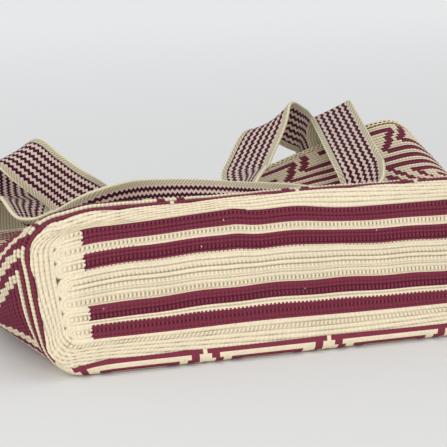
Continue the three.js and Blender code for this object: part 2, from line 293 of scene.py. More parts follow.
class ToteYarn(bpy.types.PropertyGroup):
    """Sizes and colours of the crocheted body."""

    cream: FloatVectorProperty(
        name="Cream yarn",
        description="Colour of the ground yarn",
        subtype="COLOR",
        min=0,
        max=1,
        default=from_screen(248, 233, 203),
    )
    maroon: FloatVectorProperty(
        name="Maroon yarn",
        description="Colour of the pattern yarn",
        subtype="COLOR",
        min=0,
        max=1,
        default=from_screen(134, 54, 73),
    )
    # Painted shade: darker yarn colours used where the stitches leave hollows
    cream_hollow_shade: FloatVectorProperty(
        name="Cream hollow shade",
        description="Painted shade between the cream stitches",
        subtype="COLOR",
        min=0,
        max=1,
        default=from_screen(108, 88, 52),
    )
    maroon_hollow_shade: FloatVectorProperty(
        name="Maroon hollow shade",
        description="Painted shade between the maroon stitches",
        subtype="COLOR",
        min=0,
        max=1,
        default=from_screen(56, 12, 28),
    )
    stitch_height: FloatProperty(
        name="Stitch height",
        description="How far a stitch stands out of the cloth",
        unit="LENGTH",
        default=1.0 * MM,
        min=0,
    )
    slot_depth: FloatProperty(
        name="Slot depth",
        description="How deep the slots between the posts are, as a share of the stitch height",
        subtype="FACTOR",
        default=0.9,
        min=0,
        max=2,
    )
    cloth: FloatProperty(
        name="Cloth thickness",
        description="Thickness of the crocheted wall",
        unit="LENGTH",
        default=3.2 * MM,
        min=0.5 * MM,
    )
    waviness: FloatProperty(
        name="Waviness",
        description="How far the hand-worked rounds wander",
        unit="LENGTH",
        default=0.7 * MM,
        min=0,
    )
    chain_pitch: FloatProperty(
        name="Chain pitch",
        description="Length of one chain stitch along the rim",
        unit="LENGTH",
        default=4.3 * MM,
        min=1 * MM,
    )


class ToteStraps(bpy.types.PropertyGroup):
    """Sizes and colours of the woven strap handles."""

    dark: FloatVectorProperty(
        name="Dark weave",
        description="Colour of the dark zigzag lines",
        subtype="COLOR",
        min=0,
        max=1,
        default=from_screen(58, 20, 33),
    )
    light: FloatVectorProperty(
        name="Light weave",
        description="Colour of the light zigzag lines",
        subtype="COLOR",
        min=0,
        max=1,
        default=from_screen(211, 185, 174),
    )
    border: FloatVectorProperty(
        name="Border weave",
        description="Colour of the ribbed borders and the plain ends",
        subtype="COLOR",
        min=0,
        max=1,
        default=from_screen(211, 201, 171),
    )
    wavelength: FloatProperty(
        name="Zigzag wavelength",
        description="Length of one zigzag along the strap",
        unit="LENGTH",
        default=3.3 * MM,
        min=1 * MM,
    )
    swing: FloatProperty(
        name="Zigzag swing",
        description="How far a zigzag goes to either side",
        unit="LENGTH",
        default=0.9 * MM,
        min=0,
    )
    line_pair: FloatProperty(
        name="Line pair",
        description="Width of one dark and one light line together",
        unit="LENGTH",
        default=5.2 * MM,
        min=1 * MM,
    )
    border_width: FloatProperty(
        name="Border width",
        description="Width of the ribbed border on each side",
        unit="LENGTH",
        default=4.6 * MM,
        min=0,
    )
    plain_end: FloatProperty(
        name="Plain end",
        description="Length of plain ribbed weave at each end of a handle",
        unit="LENGTH",
        default=62 * MM,
        min=0,
    )


class ToteStage(bpy.types.PropertyGroup):
    """Camera, floor and light."""

    azimuth: FloatProperty(
        name="Azimuth",
        description="Way the camera looks, from +Y towards +X",
        subtype="ANGLE",
        default=math.radians(22.29),
    )
    elevation: FloatProperty(
        name="Elevation",
        description="How far the camera looks down",
        subtype="ANGLE",
        default=math.radians(11.49),
    )
    camera_place: FloatVectorProperty(
        name="Camera place",
        description="Where the camera stands",
        subtype="TRANSLATION",
        default=(-0.57681, -1.35387, 0.36068),
    )
    focal_pixels: IntProperty(
        name="Focal pixels",
        description="Focal length in pixels of the square picture",
        default=2000,
        min=100,
    )
    picture: IntProperty(
        name="Picture",
        description="Side of the square picture in pixels",
        subtype="PIXEL",
        default=447,
        min=16,
    )
    floor: FloatVectorProperty(
        name="Floor",
        description="Colour of the floor",
        subtype="COLOR",
        min=0,
        max=1,
        default=from_screen(228, 227, 225),
    )
    backdrop: FloatVectorProperty(
        name="Backdrop",
        description="Colour the floor fades to far behind",
        subtype="COLOR",
        min=0,
        max=1,
        default=from_screen(233, 234, 235),
    )


def curve_through(places, heights, place):
    """Smooth curve through heights at given places, level past its ends."""
    place = np.clip(place, places[0], places[-1])
    last = len(places) - 1
    slopes = []
    for k in range(last + 1):
        before = max(k - 1, 0)
        after = min(k + 1, last)
        slopes.append((heights[after] - heights[before]) / (places[after] - places[before]))
    result = np.zeros_like(place)
    for k in range(last):
        span = places[k + 1] - places[k]
        t = np.clip((place - places[k]) / span, 0, 1)
        rise = heights[k + 1] - heights[k]
        cubic = (slopes[k] + slopes[k + 1]) * span - 2 * rise
        square = 3 * rise - 2 * slopes[k] * span - slopes[k + 1] * span
        value = heights[k] + t * (slopes[k] * span + t * (square + t * cubic))
        result = np.where(place >= places[k], value, result)
    return result


def smooth(value, low, high):
    """Smooth step from 0 at low to 1 at high."""
    t = np.clip((value - low) / (high - low), 0, 1)
    return t * t * (3 - 2 * t)


def hump(value, rise, fall):
    """Smooth step up over the first range and down again over the second."""
    return smooth(value, *rise) * (1 - smooth(value, *fall))


def panel_height(across, share):
    """Height of the upper wall at a place across, a share of the way to the mouth."""
    across, share = np.broadcast_arrays(np.asarray(across, float), np.asarray(share, float))
    side = across / (BASE_LENGTH / 2)
    drops = [CORNER_DROOP * smooth(-side, DROOP_FROM, 1)]
    drops += [curve_through(ACROSS, heights, side) for _, heights in SAGS]
    places = [0] + [place for place, _ in SAGS]
    return BASE_HEIGHT * math.cos(BASE_LEAN) - curve_through(places, drops, share)


def stack(*parts):
    """Points from their three broadcast coordinates."""
    return np.stack(np.broadcast_arrays(*parts), -1)


def end_slant(across, up):
    """How far the left end of the base leans over, out at its top and in at its foot."""
    lean = FOOT_IN - (FOOT_IN + TOP_OUT) * smooth(up, *SLANT_UP)
    return smooth(-across, *SLANT_ACROSS) * lean


def base_point(across, up):
    """Point of the flat base, which leans back."""
    height = up / BASE_HEIGHT * panel_height(across, 0)
    return stack(across + end_slant(across, up), height * math.tan(BASE_LEAN), height)


def wall_point(across, up, share):
    """Wall point at a place of the base's outline and a share of the way to the mouth."""
    side = across / (BASE_LENGTH / 2)
    raised = up / BASE_HEIGHT
    splay = MOUTH_SPLAY * (np.maximum(side, 0) * share) ** 2
    settled = END_PULL_AT_EDGE + (1 - END_PULL_AT_EDGE) * smooth(share, 0, END_PULL_SHARE)
    pull = END_PULL * np.minimum(side, 0) ** 2 * settled
    start = base_point(across, up)[..., 1] + EDGE_RADIUS * math.cos(BASE_LEAN)
    end = BAG_DEPTH + RIM_SETBACK * raised
    height = raised * panel_height(across, share)
    return stack(across + splay + pull, start + (end - start) * share, height)


def outline(walk, inset):
    """Place across and up on the base's outline, inset from its edge, at a walk along that edge."""
    walk = np.mod(walk, PERIMETER)
    radius = np.maximum(BASE_CORNER - inset, LEAST_CORNER)
    half_length = BASE_LENGTH / 2 - inset - radius
    half_height = BASE_HEIGHT / 2 - inset - radius
    corners = ((1, -1), (1, 1), (-1, 1), (-1, -1))
    across = np.zeros(np.broadcast(walk, radius).shape)
    up = np.zeros_like(across)
    start = 0.0
    for k, (right, top) in enumerate(corners):
        length = SHORT_SIDE if k % 2 else LONG_SIDE
        turn = (k - 1) * math.pi / 2
        from_right, from_top = corners[k - 1]
        t = (walk - start) / length
        on_side = (walk >= start) & (walk <= start + length)
        along = (from_right + (right - from_right) * t) * half_length + radius * math.cos(turn)
        rise = (from_top + (top - from_top) * t) * half_height + radius * math.sin(turn)
        across = np.where(on_side, along, across)
        up = np.where(on_side, rise, up)
        start += length
        angle = turn + (walk - start) / CORNER_ARC * math.pi / 2
        on_corner = (walk > start) & (walk < start + CORNER_ARC)
        across = np.where(on_corner, right * half_length + radius * np.cos(angle), across)
        up = np.where(on_corner, top * half_height + radius * np.sin(angle), up)
        start += CORNER_ARC
    return across, up + BASE_HEIGHT / 2


def left_end_swell(across, up, run):
    """How far the slumped left end moves along, and how far its shoulder rises."""
    flare = END_FLARE * smooth(run, *FLARE_RUN) + END_BELLY * hump(run, *BELLY_RUN)
    flare = flare * smooth(up, *FLARE_UP) * (1 - FLARE_TOP_LESS * smooth(up, *FLARE_TOP))
    tuck = END_TUCK * (1 - smooth(up, *END_TUCK_UP)) * smooth(run, *END_TUCK_RUN)
    shoulder = END_SHOULDER * smooth(-across, *SHOULDER_ACROSS) * smooth(up, *SHOULDER_UP)
    return smooth(-across, *END_ACROSS) * (tuck - flare), shoulder * hump(run, *SHOULDER_RUN)


def skin_point(walk, run):
    """Point of the outer skin at a walk round the bag and a run of cloth from the flat base."""
    walk, run = np.broadcast_arrays(np.asarray(walk, float), np.asarray(run, float))
    across, up = outline(walk, np.zeros_like(run))
    inset_across, inset_up = outline(walk, EDGE_RADIUS + np.maximum(-run, 0))
    share = np.clip((run - EDGE_ARC) / (WALL_RUN - EDGE_ARC), 0, 1)
    wall = wall_point(across, up, share)
    flat = base_point(inset_across, inset_up)
    backwards = np.array([0, EDGE_RADIUS * math.cos(BASE_LEAN), 0])
    sideways = wall_point(across, up, np.zeros_like(share)) - flat - backwards
    sideways[..., 0] += end_slant(across, up)
    angle = np.clip(run / EDGE_RADIUS, 0, math.pi / 2)[..., None]
    edge = flat + sideways * np.sin(angle) + backwards * (1 - np.cos(angle))
    wall[..., 0] += end_slant(across, up) * (1 - smooth(run, *SLANT_FADE))
    skin = np.where((run >= EDGE_ARC)[..., None], wall, edge)
    along, rise = left_end_swell(across, up, run)
    skin[..., 0] += along
    skin[..., 2] += rise
    return skin


def edge_run(walk):
    """Run at which the first round starts, further over along the top and at the near corner."""
    across, up = outline(walk, np.zeros_like(walk))
    over = NEAR_OVER + (FAR_OVER - NEAR_OVER) * smooth(across, *OVER_ACROSS)
    over = over * smooth(up, *OVER_UP)
    from_corner = np.mod(walk - TUCK_PLACE + PERIMETER / 2, PERIMETER) - PERIMETER / 2
    return EDGE_START + over + CORNER_TUCK * np.exp(-((from_corner / TUCK_WIDTH) ** 2))


def stitch_point(column, level):
    """Point of the wall at a stitch column and a level counted in rounds from the base."""
    walk = column * COLUMN_PITCH
    start = edge_run(walk)
    across, _ = outline(walk, np.zeros_like(walk))
    by_end = smooth(-across, *FIRST_ROUND_ACROSS)
    extra = FIRST_ROUND * ((1 + FIRST_ROUND_LESS) * by_end - FIRST_ROUND_LESS)
    share = (level + extra * np.minimum(level, 1)) / (ROUNDS + extra)
    return skin_point(walk, start + (WALL_RUN - start) * share)


def outward(points):
    """Outward normals of a grid of points, which goes round the bag and then to the mouth."""
    along = np.roll(points, -1, 0) - np.roll(points, 1, 0)
    normals = np.cross(np.gradient(points, axis=1), along)
    return normals / np.maximum(np.linalg.norm(normals, axis=-1, keepdims=True), TINY)


def to_part(points):
    """Points of the design in millimetres to the part's own frame in metres."""
    return (np.asarray(points) - [0, BAG_DEPTH / 2, 0]) * MM


def quads(index, flipped=False):
    """Four-cornered faces of a grid of point numbers."""
    corners = (index[:-1, :-1], index[1:, :-1], index[1:, 1:], index[:-1, 1:])
    order = (0, 3, 2, 1) if flipped else (0, 1, 2, 3)
    return np.stack([corners[k].ravel() for k in order], 1)


def shut(index):
    """A grid of point numbers with its first column again after its last."""
    return np.concatenate([index, index[:, :1]], 1)


def seam_faces(fine, coarse, step, flipped=False):
    """Faces between a fine closed edge and a coarse one, step fine sides to each coarse side."""
    faces = []
    for j, near in enumerate(coarse):
        run = [fine[(j * step + i) % len(fine)] for i in range(step + 1)]
        after = coarse[(j + 1) % len(coarse)]
        faces.append(run[::-1] + [near, after] if flipped else run + [after, near])
    return faces


def edge_of(grid):
    """Values round the edge of a grid: along its foot, its right end, its top and its left end."""
    return np.concatenate([grid[:-1, 0], grid[-1, :-1], grid[:0:-1, -1], grid[0, :0:-1]])


class Tree:
    """Short hand for building one node tree."""

    def __init__(self, tree):
        self.tree = tree

    def node(self, kind, feeds=None, **settings):
        """New node with the given inputs and properties."""
        made = self.tree.nodes.new(kind)
        for name, value in settings.items():
            setattr(made, name, value)
        for socket, value in (feeds or {}).items():
            self.feed(made.inputs[socket], value)
        return made

    def feed(self, socket, value):
        """Link an output to a socket, or set the socket's own value."""
        if isinstance(value, bpy.types.NodeSocket):
            self.tree.links.new(value, socket)
        else:
            socket.default_value = value

    def math(self, operation, *values, clamp=False):
        """Result of a math node."""
        made = self.node("ShaderNodeMath", operation=operation, use_clamp=clamp)
        for socket, value in zip(made.inputs, values):
            self.feed(socket, value)
        return made.outputs[0]

    def mix(self, factor, first, second):
        """Result of a colour mix."""
        made = self.node("ShaderNodeMix", data_type="RGBA")
        for socket, value in ((0, factor), (6, first), (7, second)):
            self.feed(made.inputs[socket], value)
        return made.outputs[2]

    def number(self, name):
        """Named number attribute of a geometry tree."""
        made = self.node("GeometryNodeInputNamedAttribute", {"Name": name}, data_type="FLOAT")
        return made.outputs["Attribute"]

    def surface_number(self, name):
        """Number attribute read by a material."""
        return self.node("ShaderNodeAttribute", attribute_name=name).outputs["Fac"]


def new_geometry_tree(name, sizes):
    """Geometry tree with a geometry, number inputs and a material, and its group input."""
    group = bpy.data.node_groups.new(name, "GeometryNodeTree")
    group.interface.new_socket("Geometry", in_out="INPUT", socket_type="NodeSocketGeometry")
    for size, default in sizes.items():
        socket = group.interface.new_socket(size, in_out="INPUT", socket_type="NodeSocketFloat")
        socket.default_value = default
    group.interface.new_socket("Material", in_out="INPUT", socket_type="NodeSocketMaterial")
    group.interface.new_socket("Geometry", in_out="OUTPUT", socket_type="NodeSocketGeometry")
    return Tree(group), group.nodes.new("NodeGroupInput")


def close_geometry_tree(build, geometry, entry):
    """End a geometry tree in realised, finished geometry."""
    realise = build.node("GeometryNodeRealizeInstances", {"Geometry": geometry})
    feeds = {"Geometry": realise.outputs["Geometry"], "Material": entry.outputs["Material"]}
    finish = build.node("GeometryNodeSetMaterial", feeds)
    build.node("NodeGroupOutput", {"Geometry": finish.outputs["Geometry"]})


def crochet_relief_tree():
    """Raises stitches from their column and row numbers, and stores the painted shade of the
    hollows.
    """
    known = bpy.data.node_groups.get("crochet_relief")
    if known:
        return known
    build, entry = new_geometry_tree("crochet_relief", {"Stitch Height": MM, "Slot Depth": 0.9})
    row = build.number("row")
    relief = build.number("relief")
    slant = build.math("MULTIPLY", build.math("FRACT", row), POST_SLANT)
    turn = build.math("ADD", build.number("column"), slant)
    wave = build.math("COSINE", build.math("MULTIPLY", turn, 2 * math.pi))
    gap = build.math("MAXIMUM", wave, 0.0)
    slot = build.math("MULTIPLY", build.math("POWER", gap, SLOT_SHARPNESS), build.number("slots"))
    swell = build.math("ABSOLUTE", build.math("SINE", build.math("MULTIPLY", row, math.pi)))
    ridge = build.math("POWER", swell, RIDGE_ROUNDNESS)
    bead = build.math("MULTIPLY_ADD", wave, -BEAD_SWING, 1 - BEAD_SWING)
    open_slot = build.math("MULTIPLY", slot, swell)
    cut = build.math("MULTIPLY", open_slot, entry.outputs["Slot Depth"])
    raised = build.math("SUBTRACT", build.math("MULTIPLY", ridge, bead), cut)
    lift = build.math("MULTIPLY", raised, relief)
    # Painted shade in the grooves between rows and in the open slots, joined with the painted shade
    # given on the piece
    groove = build.math("POWER", build.math("SUBTRACT", 1.0, swell), GROOVE_SHARPNESS)
    dots = build.math("MULTIPLY_ADD", gap, GROOVE_DOTS, GROOVE_SHADE)
    hollow_shade = build.math("MAXIMUM", build.math("MULTIPLY", groove, dots), open_slot, clamp=True)
    shown = build.math("MULTIPLY", hollow_shade, relief)
    feeds = {
        "Geometry": entry.outputs["Geometry"],
        "Name": "hollow_shade",
        "Value": build.math("MAXIMUM", shown, build.number("painted_shade")),
    }
    mark = build.node("GeometryNodeStoreNamedAttribute", feeds, data_type="FLOAT", domain="POINT")
    feeds = {
        0: build.node("GeometryNodeInputNormal").outputs["Normal"],
        "Scale": build.math("MULTIPLY", lift, entry.outputs["Stitch Height"]),
    }
    offset = build.node("ShaderNodeVectorMath", feeds, operation="SCALE")
    feeds = {"Geometry": mark.outputs["Geometry"], "Offset": offset.outputs["Vector"]}
    worked = build.node("GeometryNodeSetPosition", feeds)
    close_geometry_tree(build, worked.outputs["Geometry"], entry)
    return build.tree


def row_of_stitches_tree():
    """Sets one loop of yarn after another along a path, flat on the cloth the path runs over."""
    known = bpy.data.node_groups.get("row_of_stitches")
    if known:
        return known
    sizes = {
        "Pitch": 4.3 * MM,
        "Loop Length": 3.7 * MM,
        "Loop Width": 4.6 * MM,
        "Yarn Radius": 0.6 * MM,
    }
    build, entry = new_geometry_tree("row_of_stitches", sizes)
    given = entry.outputs
    feeds = {"Resolution": LOOP_POINTS, "Radius": 0.5}
    loop = build.node("GeometryNodeCurvePrimitiveCircle", feeds)
    feeds = {"X": given["Loop Width"], "Y": given["Loop Length"], "Z": 1.0}
    size = build.node("ShaderNodeCombineXYZ", feeds)
    feeds = {"Geometry": loop.outputs["Curve"], "Scale": size.outputs["Vector"]}
    shaped = build.node("GeometryNodeTransform", feeds)
    feeds = {"Resolution": THREAD_POINTS, "Radius": given["Yarn Radius"]}
    thread = build.node("GeometryNodeCurvePrimitiveCircle", feeds)
    feeds = {"Curve": shaped.outputs["Geometry"], "Profile Curve": thread.outputs["Curve"]}
    stitch = build.node("GeometryNodeCurveToMesh", feeds)
    line = build.node("GeometryNodeMeshToCurve", {"Mesh": given["Geometry"]})
    feeds = {"Curve": line.outputs["Curve"], "Length": given["Pitch"]}
    spread = build.node("GeometryNodeCurveToPoints", feeds, mode="LENGTH")
    feeds = {"Name": "outward"}
    out = build.node("GeometryNodeInputNamedAttribute", feeds, data_type="FLOAT_VECTOR")
    feeds = {"Primary Axis": out.outputs["Attribute"], "Secondary Axis": spread.outputs["Tangent"]}
    turn = build.node("FunctionNodeAxesToRotation", feeds, primary_axis="Z", secondary_axis="Y")
    feeds = {
        "Points": spread.outputs["Points"],
        "Instance": stitch.outputs["Mesh"],
        "Rotation": turn.outputs["Rotation"],
    }
    copies = build.node("GeometryNodeInstanceOnPoints", feeds)
    close_geometry_tree(build, copies.outputs["Instances"], entry)
    return build.tree


def run_tree(piece, tree, values):
    """Evaluate a geometry tree on a piece with its inputs by name, and keep the plain mesh."""
    modifier = piece.modifiers.new(tree.name, "NODES")
    modifier.node_group = tree
    for item in tree.interface.items_tree:
        if item.in_out == "INPUT" and item.name in values:
            modifier[item.identifier] = values[item.name]
    seen = bpy.context.evaluated_depsgraph_get()
    mesh = bpy.data.meshes.new_from_object(
        piece.evaluated_get(seen), preserve_all_data_layers=True, depsgraph=seen
    )
    if not len(mesh.polygons):
        raise RuntimeError(f"{tree.name} left {piece.name} with no faces")
    name = piece.name
    bpy.data.objects.remove(piece)
    mesh.name = name
    made = bpy.data.objects.new(name, mesh)
    bpy.context.scene.collection.objects.link(made)
    mesh.shade_smooth()
    return made


def new_piece(name, points, faces, numbers, face_numbers):
    """Mesh object from points in millimetres, with named numbers on its points and faces."""
    mesh = bpy.data.meshes.new(name)
    mesh.from_pydata(to_part(points).tolist(), [], faces)
    mesh.validate()
    for domain, table in (("POINT", numbers), ("FACE", face_numbers)):
        for label, values in table.items():
            layer = mesh.attributes.new(label, "FLOAT", domain)
            layer.data.foreach_set("value", np.asarray(values, np.float32))
    mesh.shade_smooth()
    piece = bpy.data.objects.new(name, mesh)
    bpy.context.scene.collection.objects.link(piece)
    return piece


def finish_piece(piece):
    """Ride on the bag."""
    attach(piece, BODY)


def work_stitches(piece):
    """Raise the stitches of a crocheted piece."""
    yarn = bpy.context.scene.tote_yarn
    values = {
        "Stitch Height": yarn.stitch_height,
        "Slot Depth": yarn.slot_depth,
        "Material": crochet_material(),
    }
    return run_tree(piece, crochet_relief_tree(), values)


def fibre_group():
    """Shader group for spun yarn: uneven colour and the height of its fibres."""
    known = bpy.data.node_groups.get("spun_fibre")
    if known:
        return known
    group = bpy.data.node_groups.new("spun_fibre", "ShaderNodeTree")
    for name, kind, default in (
        ("Colour", "NodeSocketColor", (0.8, 0.8, 0.8, 1)),
        ("Fibre Scale", "NodeSocketFloat", 900.0),
        ("Unevenness", "NodeSocketFloat", 0.12),
    ):
        socket = group.interface.new_socket(name, in_out="INPUT", socket_type=kind)
        socket.default_value = default
    group.interface.new_socket("Colour", in_out="OUTPUT", socket_type="NodeSocketColor")
    group.interface.new_socket("Height", in_out="OUTPUT", socket_type="NodeSocketFloat")
    build = Tree(group)
    entry = build.node("NodeGroupInput")
    place = build.node("ShaderNodeTexCoord").outputs["Object"]

    def noise(scale, detail):
        """Noise over the piece at a scale."""
        feeds = {"Vector": place, "Scale": scale, "Detail": detail}
        return build.node("ShaderNodeTexNoise", feeds).outputs["Fac"]

    fine = noise(entry.outputs["Fibre Scale"], detail=3.0)
    broad = noise(BROAD_SCALE, detail=2.0)
    knots = noise(KNOT_SCALE, detail=1.0)
    patches = build.math("MULTIPLY_ADD", broad, BROAD_SHARE, fine)
    every = build.math("MULTIPLY_ADD", knots, KNOT_SHARE, patches)
    off = build.math("SUBTRACT", every, USUAL_NOISE)
    swing = build.math("MULTIPLY", off, entry.outputs["Unevenness"])
    feeds = {0: entry.outputs["Colour"], "Scale": build.math("ADD", swing, 1.0)}
    shade = build.node("ShaderNodeVectorMath", feeds, operation="SCALE")
    height = build.math("MULTIPLY_ADD", knots, KNOT_HEIGHT, fine)
    build.node("NodeGroupOutput", {"Colour": shade.outputs["Vector"], "Height": height})
    return group


def new_material(name):
    """Fabric material, its tree and its surface shader."""
    material = bpy.data.materials.new(name)
    material.use_nodes = True
    surface = material.node_tree.nodes["Principled BSDF"]
    surface.inputs["Roughness"].default_value = FABRIC_ROUGHNESS
    surface.inputs["Specular IOR Level"].default_value = FABRIC_SPECULAR
    return material, Tree(material.node_tree), surface


def spin_yarn(build, surface, colour, height, fibre_scale, unevenness, strength):
    """Finish a fabric with fibre unevenness and relief on its surface shader."""
    feeds = {"Colour": colour, "Fibre Scale": fibre_scale, "Unevenness": unevenness}
    fibre = build.node("ShaderNodeGroup", feeds, node_tree=fibre_group())
    build.feed(surface.inputs["Base Color"], fibre.outputs["Colour"])
    rise = build.math("MULTIPLY_ADD", fibre.outputs["Height"], FIBRE_HEIGHT, height)
    feeds = {"Strength": strength, "Distance": BUMP_DEPTH, "Height": rise}
    bump = build.node("ShaderNodeBump", feeds)
    build.feed(surface.inputs["Normal"], bump.outputs["Normal"])


def crochet_material():
    """Cream and maroon cotton yarn, chosen stitch by stitch, with painted shade in the hollows."""
    known = bpy.data.materials.get("crochet_cotton_yarn")
    if known:
        return known
    yarn = bpy.context.scene.tote_yarn
    material, build, surface = new_material("crochet_cotton_yarn")
    choice = build.surface_number("yarn")
    hollow_shade = build.surface_number("hollow_shade")
    top = build.mix(choice, (*yarn.cream, 1), (*yarn.maroon, 1))
    # Painted shade colour of the yarn in the hollows
    shaded_yarn = build.mix(choice, (*yarn.cream_hollow_shade, 1), (*yarn.maroon_hollow_shade, 1))
    depth = build.math("MULTIPLY_ADD", choice, MAROON_SHADE_EXTRA, CREAM_SHADE)
    colour = build.mix(build.math("MULTIPLY", hollow_shade, depth, clamp=True), top, shaded_yarn)
    sunk = build.math("MULTIPLY", hollow_shade, -HOLLOW_BUMP)
    spin_yarn(build, surface, colour, sunk, fibre_scale=800.0, unevenness=0.32, strength=0.6)
    return material


def strap_material():
    """Woven strap: zigzag lines between ribbed borders, plain ribs at the ends, painted rib shade
    and edge highlight.
    """
    known = bpy.data.materials.get("woven_strap_zigzag")
    if known:
        return known
    strap = bpy.context.scene.tote_straps
    half = STRAP_WIDTH * MM / 2
    material, build, surface = new_material("woven_strap_zigzag")
    weave = build.node("ShaderNodeUVMap", uv_map="weave").outputs["UV"]
    split = build.node("ShaderNodeSeparateXYZ", {0: weave})
    along = split.outputs["X"]
    across = split.outputs["Y"]
    off_middle = build.math("ABSOLUTE", across)
    plain = build.surface_number("plain")

    def either(mask, where_set, where_not):
        """One number where a mask is set and another where it isn't."""
        unset = build.math("MULTIPLY", where_not, build.math("SUBTRACT", 1.0, mask))
        return build.math("ADD", unset, build.math("MULTIPLY", where_set, mask))

    def ripple(walk, pitch):
        """Sine along a walk."""
        return build.math("SINE", build.math("MULTIPLY", walk, 2 * math.pi / pitch))

    fold = build.math("PINGPONG", along, strap.wavelength / 2)
    zigzag = build.math("MULTIPLY_ADD", fold, 4 * strap.swing / strap.wavelength, -strap.swing)
    line = build.math("DIVIDE", build.math("ADD", across, zigzag), strap.line_pair)
    beat = build.math("FRACT", build.math("ADD", line, LINE_SHIFT))
    dark = build.math("LESS_THAN", beat, DARK_SHARE)
    on_border = build.math("GREATER_THAN", off_middle, half - strap.border_width)
    ribbed = build.math("MAXIMUM", on_border, plain)
    forward = build.math("MULTIPLY", along, BORDER_SLANT[1])
    border_walk = build.math("MULTIPLY_ADD", off_middle, BORDER_SLANT[0], forward)
    walk = either(plain, build.math("MULTIPLY", across, END_RIB_SCALE), border_walk)
    rib = build.math("MULTIPLY_ADD", ripple(walk, RIB_PITCH), 0.5, 0.5)
    middle = build.mix(dark, (*strap.light, 1), (*strap.dark, 1))
    # Painted shade in the low part of each rib
    shaded = tuple(v * RIB_SHADE_BRIGHTNESS for v in strap.border)
    rib_shade_colour = build.mix(RIB_SHADE, (*strap.border, 1), (*shaded, 1))
    border = build.mix(rib, rib_shade_colour, (*strap.border, 1))
    # Painted highlight along both selvedges
    selvedge_highlight = tuple(min(v * SELVEDGE_HIGHLIGHT, BRIGHTEST) for v in strap.border)
    on_selvedge = build.math("GREATER_THAN", off_middle, half - SELVEDGE)
    colour = build.mix(ribbed, middle, build.mix(on_selvedge, border, (*selvedge_highlight, 1)))
    sunk = build.math("MULTIPLY", dark, -DARK_DEPTH)
    picks = build.math("MULTIPLY_ADD", ripple(along, PICK_PITCH), PICK_HEIGHT, sunk)
    height = either(ribbed, rib, picks)
    spin_yarn(build, surface, colour, height, fibre_scale=1300.0, unevenness=0.16, strength=0.55)
    return material


# Pattern units round the walls: first and last column, steepness and lean
STEEP = 0.6
LEAN = 0.07
UNIT_EDGES = (-2, 31.5, 62.5, 94.5, 127.5, 184.5, 213.5, 244.5, 276.5, 310.3)
UNITS = (
    *((first, last, STEEP, LEAN) for first, last in zip(UNIT_EDGES, UNIT_EDGES[1:])),
    (UNIT_EDGES[-1], 349.6, 0.45, 0.0),
)
BAND_COLUMNS = 2.1
TYPICAL_HALF = 16.0
HANGING_BANDS = 0.66
LATTICE_TOP = 55
GAP_HALF = 0.9
CORNER_CROWDING = 0.55
CROWDED_COLUMNS = ((290, 302), (311, 314))
FOOT_GAP = slice(344, 350)
FOOT_GAP_ROUNDS = 9
CORNER_FOOT = slice(308, 313)

# Band of hooks below the rim: the rounds of its bars, then their ends, and each stem's start and
# drift from round to round
HOOK_SHIFT = 9
BAND_LINE = 57
LOWER_BAR = 60
MIDDLE_BAR = 63
UPPER_BAR = 68
TOP_STEP = 69
UPPER_BAR_ENDS = (1, -6)
LOWER_BAR_ENDS = (11, 7)
MIDDLE_BAR_ENDS = (9, 1)
LONG_STEM = (0.6, 0.8)
SHORT_STEM = (-3.0, 0.6)
STEM_COLUMNS = 2

# How far a maroon stitch spreads over its neighbours, more in the band of hooks
WALL_SCALLOP = 0.16
LINE_SPREAD = 0.06
BAND_SPREAD = 0.28
BAND_SPREAD_LEVELS = (44, 52)


def paint(chart, columns, level):
    """Work a run of columns in maroon, on one round."""
    chart[np.mod(np.floor(columns + 0.5).astype(int), COLUMNS), level] = 1


def hook_band(chart):
    """Work the band of hooks below the rim into a chart."""
    for k, (gap, end, _, _) in enumerate(UNITS):
        start = gap - HOOK_SHIFT
        before = start - (gap - UNITS[k - 1][0]) % COLUMNS
        after = start + int(end - gap)
        for left, right, (first, last), level in (
            (start, after, UPPER_BAR_ENDS, UPPER_BAR),
            (before, start, LOWER_BAR_ENDS, LOWER_BAR),
            (before, start, MIDDLE_BAR_ENDS, MIDDLE_BAR),
        ):
            paint(chart, np.arange(left + first, right + last), level)
        for (shift, drift), top, downs in (
            (LONG_STEM, UPPER_BAR, range(1, UPPER_BAR - LOWER_BAR)),
            (SHORT_STEM, TOP_STEP, range(TOP_STEP - MIDDLE_BAR)),
        ):
            for down in downs:
                stem = start + shift + drift * down + np.arange(STEM_COLUMNS)
                paint(chart, stem, top - down)


